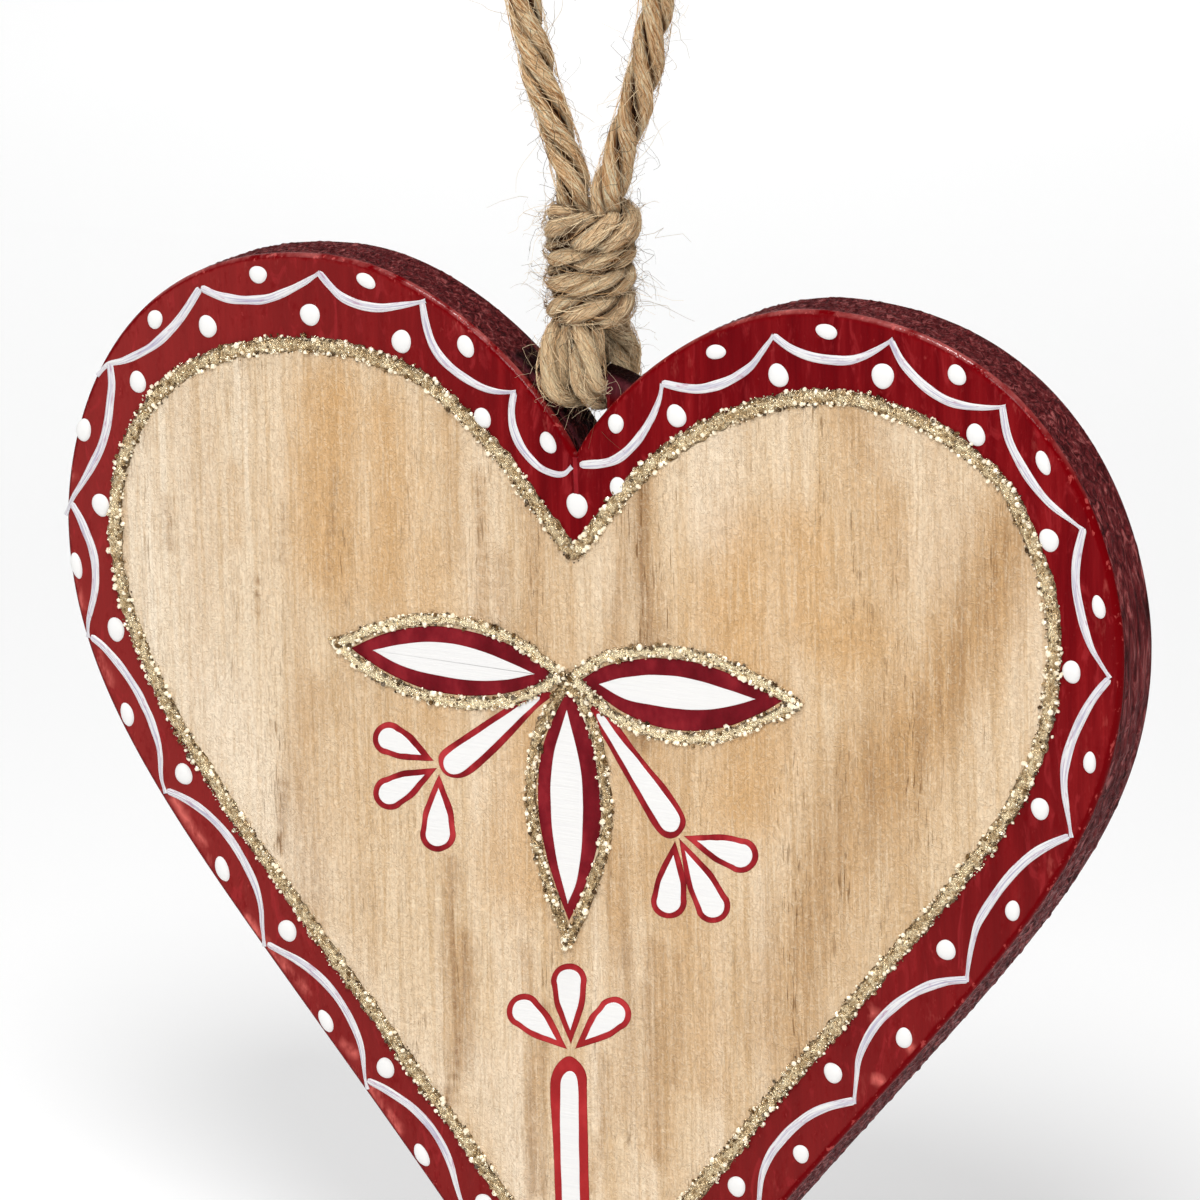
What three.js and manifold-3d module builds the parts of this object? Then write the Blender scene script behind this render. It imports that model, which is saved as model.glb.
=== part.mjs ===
// A painted wooden heart that hangs on a knotted loop of jute cord.
// Millimetres, +Z up. The painted face looks along -Y. The origin is the inside of the top of the cord's
// loop, where a nail or a hook carries the heart.

import * as THREE from 'three';
import { mergeVertices } from 'three/addons/utils/BufferGeometryUtils.js';
import Module from 'manifold-3d';

const wasm = await Module();
wasm.setup();

// Heart board
const HEART_WIDTH = 140;
const HEART_HEIGHT = 136.5;
const NOTCH_DEPTH = 20;
const BOARD_THICKNESS = 8;
const ARRIS_RADIUS = 0.8;
const TIP_RADIUS = 1.5;
const OUTLINE_STEPS = 26;
const ARRIS_STEPS = 3;
const TIP_STEPS = 6;

// Heart outline, as shares of the half width (x) and of the height (z)
const LOBE_TOP_X = 0.471;
const LOBE_INNER_HANDLE = 0.229;
const LOBE_OUTER_HANDLE = 0.436;
const WIDEST_LEVEL = 0.264;
const CHEEK_UPPER_HANDLE = 0.081;
const CHEEK_LOWER_HANDLE = 0.209;
const TIP_HANDLE_X = 0.614;
const TIP_HANDLE_Z = 0.41;
const NOTCH_HANDLE_X = 0.043;
const NOTCH_HANDLE_Z = 0.044;

// Web of wood left standing across the notch, heights above the bottom of the notch
const WEB_CROWN = 9.8;
const WEB_SHOULDER = 7.2;
const WEB_HALF_SPAN = 8.5;
const WEB_FOOT = 1;
const WEB_THICKNESS = 2.2;
const WEB_DEPTH = 4.6;
const WEB_ROUND = 1;
const WEB_CURVE_STEPS = 8;

// Cord
const CORD_DIAMETER = 4;
const FIT_GAP = 0.3;
const CORD_SIDES = 8;

// The cord where it is pinched under the web, two strands side by side
const PINCHED_DIAMETER = 2.6;
const STRAND_SPACING = PINCHED_DIAMETER + FIT_GAP;

// Knot of four wraps round the strands
const KNOT_ABOVE_NOTCH = 13.5;
const KNOT_SIDE = 0.4;
const WRAP_COUNT = 4;
const WRAP_PITCH = 3.6;
const WRAP_RADIUS = 5.15;
const COLLAR_RADIUS = 5.75;
const KNOT_SIDES = 24;
const WRAP_STEPS = 6;

// Route of the loop, x and height above the knot, up the left side and down the right
const LOOP_ROUTE = [
  [-1.75, 0.4], [-1.8, 2.2], [-3.2, 7.3], [-5.2, 12.5], [-6.7, 17.9], [-7.9, 23.4], [-8.9, 29.3],
  [-9.1, 34.6], [-7.8, 39.9], [-4.6, 43.8], [0, 45.2], [4.8, 43.8], [8.6, 39.9], [10.3, 34.6],
  [10.4, 29.6], [9.6, 24.8], [8.6, 19.3], [7, 13.6], [4.9, 8], [3.1, 2.8], [2.6, 0.4],
];
const LOOP_STEPS = 44;
const HITCH_STEPS = 20;
const HITCH_BEND_STEPS = 3;
const STRAND_PULL_IN = 0.7;

// Heights worked out from the sizes above
const loopRise = Math.max(...LOOP_ROUTE.map(([, height]) => height));
const knotTopZ = -(loopRise - CORD_DIAMETER / 2);
const knotBottomZ = knotTopZ - WRAP_COUNT * WRAP_PITCH;
const notchZ = knotBottomZ - KNOT_ABOVE_NOTCH;
const lobeTopZ = notchZ + NOTCH_DEPTH;
const tipZ = lobeTopZ - HEART_HEIGHT;

// The slot under the web, which fits the two pinched strands
const slotCrownZ = notchZ + WEB_CROWN - WEB_THICKNESS;
const slotCorner = PINCHED_DIAMETER / 2 + FIT_GAP;
const slotHalfWidth = STRAND_SPACING / 2 + slotCorner;

const woodPaint = new THREE.MeshStandardMaterial({ name: 'wood', color: 0x6e2a2c, roughness: 0.6, metalness: 0 });
const jute = new THREE.MeshStandardMaterial({ name: 'jute', color: 0xb99a6b, roughness: 0.95, metalness: 0 });

// A closed geometry as a solid that can be joined or cut
function toSolid(geometry) {
  const bare = geometry.clone();
  bare.deleteAttribute('normal');
  bare.deleteAttribute('uv');
  const merged = mergeVertices(bare, 1e-4);
  const mesh = new wasm.Mesh({
    numProp: 3,
    vertProperties: new Float32Array(merged.attributes.position.array),
    triVerts: new Uint32Array(merged.index.array),
  });
  return new wasm.Manifold(mesh);
}

function toGeometry(solid) {
  const mesh = solid.getMesh();
  const geometry = new THREE.BufferGeometry();
  geometry.setAttribute('position', new THREE.BufferAttribute(new Float32Array(mesh.vertProperties), 3));
  geometry.setIndex(new THREE.BufferAttribute(new Uint32Array(mesh.triVerts), 1));
  geometry.computeVertexNormals();
  return geometry;
}

// Right half of the heart's outline, from the notch over the lobe to the round of the tip, by x and z
function rightHalfOutline() {
  const half = HEART_WIDTH / 2;
  const tipHandle = new THREE.Vector2(TIP_HANDLE_X * half, TIP_HANDLE_Z * HEART_HEIGHT);
  const slope = tipHandle.angle();
  const sharpTip = new THREE.Vector2(0, tipZ + TIP_RADIUS - TIP_RADIUS / Math.cos(slope));
  const notch = new THREE.Vector2(0, notchZ);
  const lobe = new THREE.Vector2(LOBE_TOP_X * half, lobeTopZ);
  const widest = new THREE.Vector2(half, lobeTopZ - WIDEST_LEVEL * HEART_HEIGHT);
  const arcStart = tipPoint(slope);
  const curves = [
    new THREE.CubicBezierCurve(
      notch,
      new THREE.Vector2(NOTCH_HANDLE_X * half, notchZ + NOTCH_HANDLE_Z * HEART_HEIGHT),
      new THREE.Vector2(lobe.x - LOBE_INNER_HANDLE * half, lobe.y),
      lobe,
    ),
    new THREE.CubicBezierCurve(
      lobe,
      new THREE.Vector2(lobe.x + LOBE_OUTER_HANDLE * half, lobe.y),
      new THREE.Vector2(widest.x, widest.y + CHEEK_UPPER_HANDLE * HEART_HEIGHT),
      widest,
    ),
    new THREE.CubicBezierCurve(
      widest,
      new THREE.Vector2(widest.x, widest.y - CHEEK_LOWER_HANDLE * HEART_HEIGHT),
      sharpTip.add(tipHandle),
      arcStart,
    ),
  ];
  const points = [notch];
  for (const curve of curves) {
    points.push(...curve.getPoints(OUTLINE_STEPS).slice(1));
  }
  for (let step = 1; step < TIP_STEPS; step += 1) {
    points.push(tipPoint(slope * (1 - step / TIP_STEPS)));
  }
  return points;
}

// A point on the round of the tip, where the outline has the given slope
function tipPoint(slope) {
  return new THREE.Vector2(TIP_RADIUS * Math.sin(slope), tipZ + TIP_RADIUS * (1 - Math.cos(slope)));
}

function heartShape() {
  const [notch, ...right] = rightHalfOutline();
  const left = right.map((p) => new THREE.Vector2(-p.x, p.y)).reverse();
  return new THREE.Shape([notch, ...right, new THREE.Vector2(0, tipZ), ...left]);
}

// A shape drawn in x and z, made thick about y = 0, with its edges rounded
function slab(shape, thickness, edgeRadius, edgeSteps) {
  const geometry = new THREE.ExtrudeGeometry(shape, {
    depth: thickness - 2 * edgeRadius,
    bevelEnabled: true,
    bevelThickness: edgeRadius,
    bevelSize: edgeRadius,
    bevelOffset: -edgeRadius,
    bevelSegments: edgeSteps,
    curveSegments: WEB_CURVE_STEPS,
  });
  geometry.translate(0, 0, -(thickness / 2 - edgeRadius));
  geometry.rotateX(Math.PI / 2);
  return geometry;
}

// The web from in front: an arched top, and feet inside the two lobes on either side of the slot
function webShape() {
  const shape = new THREE.Shape();
  const foot = notchZ + WEB_FOOT;
  const shoulder = notchZ + WEB_SHOULDER;
  const cornerX = slotHalfWidth - slotCorner;
  const cornerZ = slotCrownZ - slotCorner;
  shape.moveTo(-WEB_HALF_SPAN, foot);
  shape.lineTo(-slotHalfWidth, foot);
  shape.lineTo(-slotHalfWidth, cornerZ);
  shape.absarc(-cornerX, cornerZ, slotCorner, Math.PI, Math.PI / 2, true);
  shape.lineTo(cornerX, slotCrownZ);
  shape.absarc(cornerX, cornerZ, slotCorner, Math.PI / 2, 0, true);
  shape.lineTo(slotHalfWidth, foot);
  shape.lineTo(WEB_HALF_SPAN, foot);
  shape.lineTo(WEB_HALF_SPAN, shoulder);
  shape.quadraticCurveTo(0, 2 * (notchZ + WEB_CROWN) - shoulder, -WEB_HALF_SPAN, shoulder);
  return shape;
}

function heart() {
  const board = toSolid(slab(heartShape(), BOARD_THICKNESS, ARRIS_RADIUS, ARRIS_STEPS));
  const web = toSolid(slab(webShape(), WEB_DEPTH, WEB_ROUND, ARRIS_STEPS));
  const mesh = new THREE.Mesh(toGeometry(board.add(web)), woodPaint);
  mesh.name = 'heart';
  return mesh;
}

// A round tube along a curve
function tube(name, curve, diameter, steps) {
  const section = new THREE.Shape();
  section.absarc(0, 0, diameter / 2, 0, 2 * Math.PI);
  const points = section.getPoints(CORD_SIDES / 2).slice(0, -1);
  const geometry = new THREE.ExtrudeGeometry(new THREE.Shape(points), {
    extrudePath: curve,
    steps,
    bevelEnabled: false,
  });
  const mesh = new THREE.Mesh(geometry, jute);
  mesh.name = name;
  return mesh;
}

// One strand down in front of the web, round under it and up behind it, concentric with the web's edges
function hitch(name, side) {
  const x = side * STRAND_SPACING / 2;
  const bend = WEB_ROUND + FIT_GAP + PINCHED_DIAMETER / 2;
  const bendY = -(WEB_DEPTH / 2 - WEB_ROUND);
  const bendZ = slotCrownZ + WEB_ROUND;
  const front = [
    new THREE.Vector3(x + KNOT_SIDE, bendY - bend + STRAND_PULL_IN, knotBottomZ - FIT_GAP),
    new THREE.Vector3(x, bendY - bend, notchZ + WEB_CROWN),
  ];
  for (let step = 0; step <= HITCH_BEND_STEPS; step += 1) {
    const angle = Math.PI / 2 * step / HITCH_BEND_STEPS;
    front.push(new THREE.Vector3(x, bendY - bend * Math.cos(angle), bendZ - bend * Math.sin(angle)));
  }
  const back = front.map((p) => new THREE.Vector3(p.x, -p.y, p.z)).reverse();
  return tube(name, new THREE.CatmullRomCurve3([...front, ...back]), PINCHED_DIAMETER, HITCH_STEPS);
}

// The wraps of the knot, turned about its own upright axis, with the collar on top
function knot() {
  const profile = [new THREE.Vector2(0, knotBottomZ)];
  for (let wrap = 0; wrap < WRAP_COUNT; wrap += 1) {
    const radius = wrap === WRAP_COUNT - 1 ? COLLAR_RADIUS : WRAP_RADIUS;
    const middle = knotBottomZ + (wrap + 0.5) * WRAP_PITCH;
    for (let step = 0; step <= WRAP_STEPS; step += 1) {
      const angle = -Math.PI / 2 + Math.PI * step / WRAP_STEPS;
      const bulge = radius - WRAP_PITCH / 2 + WRAP_PITCH / 2 * Math.cos(angle);
      profile.push(new THREE.Vector2(bulge, middle + WRAP_PITCH / 2 * Math.sin(angle)));
    }
  }
  profile.push(new THREE.Vector2(0, knotTopZ));
  const geometry = new THREE.LatheGeometry(profile, KNOT_SIDES);
  geometry.rotateX(Math.PI / 2);
  const mesh = new THREE.Mesh(geometry, jute);
  mesh.position.x = KNOT_SIDE;
  mesh.name = 'cord_knot';
  return mesh;
}

function loop() {
  const points = LOOP_ROUTE.map(([x, height]) => new THREE.Vector3(x, 0, knotTopZ + height));
  return tube('cord_loop', new THREE.CatmullRomCurve3(points), CORD_DIAMETER, LOOP_STEPS);
}

const ornament = new THREE.Group();
ornament.add(heart(), knot(), loop(), hitch('cord_hitch_left', -1), hitch('cord_hitch_right', 1));

export default ornament;
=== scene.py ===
"""Looks of the wooden heart: a painted and glittered board that hangs on a wrapped loop of jute cord."""

import math

import bmesh
import bpy
import numpy as np
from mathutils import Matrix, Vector, geometry


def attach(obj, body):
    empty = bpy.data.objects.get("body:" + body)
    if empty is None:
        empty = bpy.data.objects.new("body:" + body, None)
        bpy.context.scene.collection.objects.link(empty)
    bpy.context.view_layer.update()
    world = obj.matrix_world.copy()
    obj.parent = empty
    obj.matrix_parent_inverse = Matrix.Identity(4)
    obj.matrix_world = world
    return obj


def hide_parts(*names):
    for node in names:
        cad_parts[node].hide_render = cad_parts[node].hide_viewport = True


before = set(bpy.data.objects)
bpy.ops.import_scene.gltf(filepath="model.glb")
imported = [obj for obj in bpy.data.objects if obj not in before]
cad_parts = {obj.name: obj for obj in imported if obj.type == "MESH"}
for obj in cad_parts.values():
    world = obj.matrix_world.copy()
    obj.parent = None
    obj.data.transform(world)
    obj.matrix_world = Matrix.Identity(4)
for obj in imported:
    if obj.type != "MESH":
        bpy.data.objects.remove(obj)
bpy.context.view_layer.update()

MM = 0.001
rng = np.random.default_rng(7)

# Camera of the photograph, fitted to the heart's outline, in millimetres and pixels
PHOTO_SIDE = 1200
CAMERA_AZIMUTH = 30.757
CAMERA_ELEVATION = 14.571
CAMERA_ROLL = -1.097
CAMERA_DISTANCE = 1106.213
CAMERA_FOCAL = 9650.941
CAMERA_TARGET = (0.675, 0, -89.07)
SENSOR_WIDTH = 36

# Heart board, in millimetres, as in the part's source
HEART_WIDTH = 140
HEART_HEIGHT = 136.5
BOARD_THICKNESS = 8
ARRIS_RADIUS = 0.8
TIP_RADIUS = 1.5
LOBE_X = 0.471
LOBE_HANDLES = (0.229, 0.436)
WIDEST_DROP = 0.264
WIDEST_HANDLES = (0.081, 0.209)
NOTCH_HANDLE = (0.043, 0.044)
TIP_HANDLE = (0.614, 0.41)
NOTCH_Z = -71.1
LOBE_TOP_Z = -51.1
TIP_Z = LOBE_TOP_Z - HEART_HEIGHT
OUTLINE_STEP = 0.4
FACE_Y = -BOARD_THICKNESS / 2
GRID_STEP = 0.78
WALL_ROWS = 16
ARRIS_ROWS = 5
WALL_RELIEF = 0.11

# Web across the notch and the slot under it
WEB_CROWN_Z = -61.3
WEB_SHOULDER_Z = -63.9
WEB_FOOT_Z = -70.1
WEB_HALF_SPAN = 8.5
WEB_HALF_DEPTH = 2.3
WEB_ROUND = 1
SLOT_CROWN_Z = -63.5
SLOT_HALF_WIDTH = 3.05
SLOT_CORNER = 1.6

# Cord
PLY_COUNT = 3
PLY_RADIUS = 1.04
PLY_OFFSET = 0.94
PLY_SIDES = 16
LAY_PITCH = 20
CORD_STEP = 0.42
KNOT_X = 0.4
KNOT_TOP_Z = -43.2
WRAP_X = 0.2
WRAP_PATH_RADIUS = 3.2
WRAP_LEVELS = (-54.2, -51.1, -48.05)
ALL_WRAPS = (-56, -44)
LOWEST_WRAP = (-55.5, -53)
PRESSED_WRAPS = (-52.7, -47)
FAT_WRAP = (-46, -44)
HITCH_TOP_Z = -57
STRAND_TURN_Z = SLOT_CROWN_Z - 1.4
FAR_ALONG_CORD = 7
LYING_COUNT = 3400
LYING_POINTS = 6
LYING_RADIUS = 1.92
FUZZ_COUNT = 2500
FUZZ_TOP_Z = 6
FUZZ_REACH_Y = 6.9
FUZZ_RADIUS = 0.036

# Top turn of the knot: turns from the back counter-clockwise, radius and height in millimetres
COLLAR_ROUTE = [
    (3, 2.9, -47.5), (3.12, 2, -47), (3.25, 1.3, -46.6), (3.38, 1.3, -46.4), (3.47, 2.1, -46.2),
    (3.54, 3.2, -45.9), (3.62, 4, -45.5), (3.72, 4.15, -45.1), (3.84, 3.95, -44.8), (3.95, 3.6, -44.7),
    (4.08, 3.35, -44.7), (4.2, 3.35, -44.8), (4.32, 3.35, -44.9), (4.42, 3.25, -45), (4.5, 2.6, -45.1),
    (4.57, 1.8, -45.2),
]

# Route of the loop above the knot, x and height, as in the part's source
LOOP_ROUTE = [
    (-1.75, 0.4), (-1.8, 2.2), (-3.2, 7.3), (-5.2, 12.5), (-6.7, 17.9), (-7.9, 23.4), (-8.9, 29.3),
    (-9.1, 34.6), (-7.8, 39.9), (-4.6, 43.8), (0, 45.2), (4.8, 43.8), (8.6, 39.9), (10.3, 34.6),
    (10.4, 29.6), (9.6, 24.8), (8.6, 19.3), (7, 13.6), (4.9, 8), (3.1, 2.8), (2.6, 0.4),
]

# Photograph pixels of paler flecks in the red border, and their half width in millimetres
FLECKS = [
    [(173, 798), (188, 822), (203, 843)], [(247, 918), (256, 930), (265, 940)],
    [(272, 950), (290, 972), (305, 990)], [(345, 1045), (350, 1050), (355, 1055)],
    [(372, 1090), (386, 1110), (400, 1130)],
    [(97, 655), (103, 668), (110, 680)], [(66, 460), (68, 468), (70, 475)], [(75, 585), (78, 596), (80, 605)],
    [(866, 1008), (872, 1014)], [(905, 1042), (914, 1052)], [(876, 1080), (886, 1084)],
]
FLECK_HALF_WIDTH = 0.5 / math.sqrt(2)

# Paint and glitter: how far each stands off the face, and their steps and sizes
PAINT_GAP = 0.005
RED_FILM = 0.05
WHITE_FILM = 0.1
STROKE_CROWN = 0.16
STROKE_STEP = 0.35
STROKE_COLUMNS = 9
DOT_CROWN = 0.4
DOT_SIDES = 40
FLOWER_STEP = 0.3
HAND_WOBBLE = 0.03
CREASE_HALF_WIDTH = 0.32
GOLD_STEP = 0.3
GOLD_HALF_WIDTH = 0.9
GOLD_CROWN = 0.4
GOLD_COLUMNS = 11
GRAINS_PER_MM = 13
GRAINS_PER_LUMP = 46
BIG_GRAIN = (0.2, 0.42)
SMALL_GRAIN = (0.07, 0.17)
LEAF_GOLD_HALF_WIDTH = 0.68
LEAF_GOLD_OFFSET = 0.85

# Floor and backdrop, in millimetres
FLOOR_REACH = 2600
BACKDROP_RADIUS = 700

# Soft lights: name, place, target and width in metres, power in watts and spread in degrees
LIGHTS = [
    ("key", (-0.6, -0.95, 0.7), (0, 0, -0.11), 1.05, 4.2, 180),
    ("front", (0.45, -0.85, 0.8), (0, 0, -0.11), 0.4, 9.4, 180),
    ("top", (0.08, -0.16, 1.15), (0, 0, -0.11), 0.26, 5.5, 180),
    ("fill", (1.2, -0.9, 0.2), (0, 0, -0.11), 1.0, 1.2, 180),
    ("far_floor", (-0.45, 0.85, 0.9), (-0.45, 0.85, -0.2), 0.5, 0.9, 70),
]
WORLD_STRENGTH = 0.33
FLOOR_GLOW = 0.06

# Photograph pixels of the white strokes, each from its broad start to its thin end
STROKES = [
    [(203, 289), (217, 295), (235, 299), (255, 300), (270, 298), (288, 291), (304, 283), (318, 274)],
    [(199, 290), (189, 306), (179, 320), (166, 334), (151, 347), (135, 356), (122, 361), (108, 364),
     (99, 373)],
    [(110, 365), (112, 384), (110, 404), (107, 425), (101, 447), (92, 466), (82, 483), (73, 497),
     (67, 512)],
    [(72, 505), (80, 519), (86, 532), (91, 544), (94.4, 558), (95.4, 571), (95.3, 585), (93.8, 598),
     (91, 611), (88.5, 622), (88, 634)],
    [(92.5, 638), (102, 645.5), (112, 656), (121, 667), (130, 680), (138, 693), (144, 705.5), (150, 718),
     (155, 732), (159, 745), (160.8, 758), (161, 770.5), (162, 781), (164.6, 790)],
    [(169, 791.5), (181, 796.6), (194, 804), (207, 814), (219.5, 826), (231, 840), (240, 854),
     (247.6, 868), (254, 882), (258.4, 896), (261, 910), (261.8, 923), (263, 933), (264, 943)],
    [(269.5, 944.6), (281, 951), (295.4, 959), (309.6, 969), (324, 982), (336.4, 996.4), (347, 1012.5),
     (354.3, 1027), (359.6, 1041), (362.3, 1053.6), (363.5, 1066), (365, 1078.6), (366.8, 1086)],
    [(369.5, 1081), (383, 1087.5), (397, 1096.4), (411.4, 1107), (425.7, 1121.4), (436.4, 1135.7),
     (445.4, 1152), (451.6, 1168), (456, 1184), (461, 1200), (468, 1214)],
    [(472, 1214), (492, 1226), (511, 1242), (528, 1262), (540, 1284), (548, 1306), (555, 1326),
     (562, 1342)],
    [(320, 274), (328.7, 285), (340, 296), (353.6, 302.4), (367, 306), (382, 308), (397.6, 306.5),
     (411, 304), (423, 301)],
    [(422, 304), (425, 321.6), (431, 340.7), (440, 356), (453, 369.4), (468.4, 380), (484, 387.6),
     (499, 391.4), (513.3, 392.5)],
    [(513.3, 394), (511.4, 409.6), (513.3, 427), (520, 444), (529.6, 457.4), (541, 468), (554.4, 473.7),
     (564, 473.7), (570, 468.5)],
    [(582, 464.7), (591, 464.5), (601, 463.8), (612.3, 461), (623.5, 454.5), (634.7, 443.7), (643, 432.5),
     (650.5, 419.5), (656, 407.3), (660, 396), (661.7, 387)],
    [(664, 384), (680.6, 388), (698.5, 389), (716, 385), (734, 377.6), (751, 366), (762, 352),
     (772.4, 338)],
    [(775, 336.7), (790, 348), (808, 356), (826, 360), (846.4, 361), (862, 357), (877, 349.5),
     (891, 340.6)],
    [(892, 342), (901, 360), (913, 375), (928, 389), (946, 400.5), (964, 406), (984, 408), (1003, 407)],
    [(1003, 409), (1007.6, 435), (1014, 452.5), (1024.7, 471.7), (1037.5, 489), (1050.3, 503.7),
     (1065, 516.5), (1080, 528)],
    [(1083, 530), (1080, 542), (1077, 557), (1075.9, 572), (1076.3, 589), (1079, 606), (1083.3, 625),
     (1091, 646.7), (1099.3, 661.6), (1108, 675.5)],
    [(1108, 680), (1097, 693), (1086, 710), (1076, 729.6), (1069, 749), (1065, 769), (1064.4, 788.4),
     (1066.4, 808), (1069, 825), (1070.5, 834)],
    [(1067, 836.5), (1052.4, 843), (1035.6, 853), (1018.8, 867), (1003.4, 883.6), (989.4, 903),
     (978, 923), (972.6, 942.4), (969, 962), (967, 978)],
    [(965.6, 980), (946, 981.6), (926.4, 987), (906.8, 997), (890, 1009.6), (876, 1024), (866, 1040.4),
     (859, 1059), (857, 1077), (854.5, 1100)],
    [(853, 1101.4), (840, 1104), (827.6, 1107), (814.8, 1112), (802, 1120), (789, 1131.4), (779, 1143),
     (771.4, 1153), (765, 1166), (761, 1180), (759, 1200), (757, 1216)],
    [(755, 1219), (735, 1222), (716, 1229), (698, 1240), (682, 1256), (668, 1276), (656, 1298),
     (648, 1322), (644, 1340)],
]
STROKE_HALF_WIDTHS = (0.42, 0.52, 0.56, 0.52, 0.38, 0.16)
STROKE_REACH = 0.25

# Photograph pixels of the white dots: centre, half width, half height and lean in degrees
INNER_DOTS = [
    (207.6, 326.4, 9, 10.8, -4), (310, 314.7, 9.5, 11.2, -4), (401.4, 341.5, 9.6, 11.6, -6),
    (482.5, 418, 8, 10.5, -20), (137.8, 382, 8.2, 10.6, -5), (100.8, 505, 8.4, 11.4, -5),
    (116, 629.3, 8.4, 11.6, -8), (183.7, 774, 8.2, 10.8, -12), (287.5, 930.7, 8.6, 11, -16),
    (385.5, 1068, 8.4, 10.5, -16), (484, 1204, 8.4, 10.5, -16), (577, 505.5, 10.2, 12.5, 0),
    (618.8, 488, 8.5, 11, -20), (676.4, 416, 9.5, 11.5, -8), (778.3, 375.5, 10, 11.6, -4),
    (882.7, 376, 11, 12.8, -4), (975.8, 435, 9.4, 11, -6), (1049, 540.3, 9.5, 11.5, -6),
    (1071.5, 672, 9.3, 11, -6), (1040, 808.8, 9.2, 10.6, -10), (946, 950, 9.2, 10.4, -12),
    (833, 1073, 9, 10, -12), (736.6, 1186.5, 9, 9.8, -12), (640, 1300, 8.8, 9.8, -10),
    (592, 1372, 9, 10, 0),
]
OUTER_DOTS = [
    (258, 274.6, 9, 8.4, 0), (155, 319.4, 7.2, 9.6, 38), (83.7, 430, 7, 12, 12),
    (76.6, 565.4, 5.4, 12.6, -12), (127.3, 714.4, 6, 12, -16), (222.3, 868.9, 6.6, 12.2, -22),
    (326, 1021, 6.2, 11.2, -30), (421.8, 1155, 6.4, 11.4, -30), (521, 1286, 6.4, 11, -32),
    (366, 280.8, 9.4, 7.2, 20), (465.7, 346.3, 8, 11, -30), (548, 442.7, 7.2, 11.5, -28),
    (615.8, 423.7, 7.4, 10, 18), (715.8, 352, 10, 7.2, -16), (826.5, 331.6, 10.4, 7.8, 6),
    (956.9, 375, 8.2, 11.2, -48), (1043.2, 462.8, 6.8, 12, -22), (1098.7, 607.2, 6.2, 12, -12),
    (1089.7, 762.6, 6.4, 10.6, 6), (1012.6, 910.8, 7.4, 10, 14), (904, 1038, 8.2, 10, 16),
    (801, 1154, 7.6, 9.2, 20), (700, 1268, 7.4, 9, 22),
]

# Photograph pixels of the middle of the glitter line
GOLD_CONTOUR = [
    (573, 553), (586, 541), (600, 523), (622, 496), (650, 466), (675.5, 446), (708.7, 427), (752, 409),
    (793, 399), (828.6, 396.7), (864, 401), (905, 415.8), (943, 434), (976.5, 459), (1004.6, 486),
    (1021.5, 518), (1035, 549), (1045, 580), (1051, 608), (1054, 637), (1054.5, 665), (1051, 695),
    (1046, 724), (1038, 752), (1026.5, 780), (1013, 807), (996, 834), (979, 857), (956, 885),
    (932.8, 912), (907, 941), (880, 972), (854, 1004), (842, 1019), (813, 1052), (795, 1073),
    (771.4, 1101), (753.6, 1122), (737, 1144), (710, 1175), (670, 1222), (631, 1269), (592, 1313),
    (560, 1272), (522, 1220), (485.5, 1168), (448, 1115), (408, 1061), (372, 1008), (332, 954),
    (295, 900), (264, 856), (235, 815), (215, 783), (199, 758), (184, 734), (161.4, 691), (147, 658),
    (136.5, 632), (126, 600), (119, 566), (116, 531.6), (117, 501), (120.5, 474), (127.6, 445),
    (143, 414.7), (163, 389), (188.8, 369), (229.6, 352.5), (280.6, 344), (331.6, 347), (376.5, 358),
    (414.8, 374), (443.5, 396), (466.4, 417), (484, 437), (501, 456), (514, 473), (531, 497), (549, 521),
    (562, 540),
]
GOLD_LUMPS = [(566, 675, 0.55), (338, 643, 0.3), (798, 704, 0.3), (569, 942, 0.3)]
GOLD_LEAF_ENDS = [
    [(338, 643), (561, 675)],
    [(573, 677), (798, 704)],
    [(567, 684), (569, 942)],
]

# Photograph pixels of the red leaves, whose first and eighth points are the tips, and of their white eyes
LEAF_TIP = 7
EYE_TIP = 5
RED_LEAVES = [
    [(351, 648), (375, 637), (403, 629), (436, 626), (469, 631), (502, 641), (527, 655), (556, 676),
     (527, 688), (502, 694), (469, 696), (444, 693), (419, 687), (386, 672), (361, 656)],
    [(580, 680), (601, 668), (626, 661), (659, 658), (693, 662), (726, 672), (751, 684), (783, 701),
     (759, 714), (726, 727), (693, 731), (659, 727), (626, 714), (601, 697)],
    [(567, 690), (553, 719), (542, 749), (538, 782), (539, 815), (545, 849), (555, 884), (569, 921),
     (583, 892), (596, 852), (601, 819), (598, 777), (591, 739), (576, 702)],
]
WHITE_EYES = [
    [(373, 650), (403, 644), (436, 642), (469, 647), (502, 659), (535, 674), (502, 680), (469, 680),
     (436, 675), (403, 666)],
    [(599, 684), (626, 677), (659, 675), (693, 679), (726, 689), (756, 699), (726, 707), (693, 710),
     (659, 706), (626, 699)],
    [(567, 710), (555, 749), (551, 782), (552, 824), (558, 864), (568, 904), (577, 880), (582, 844),
     (583, 802), (580, 764)],
]

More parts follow.
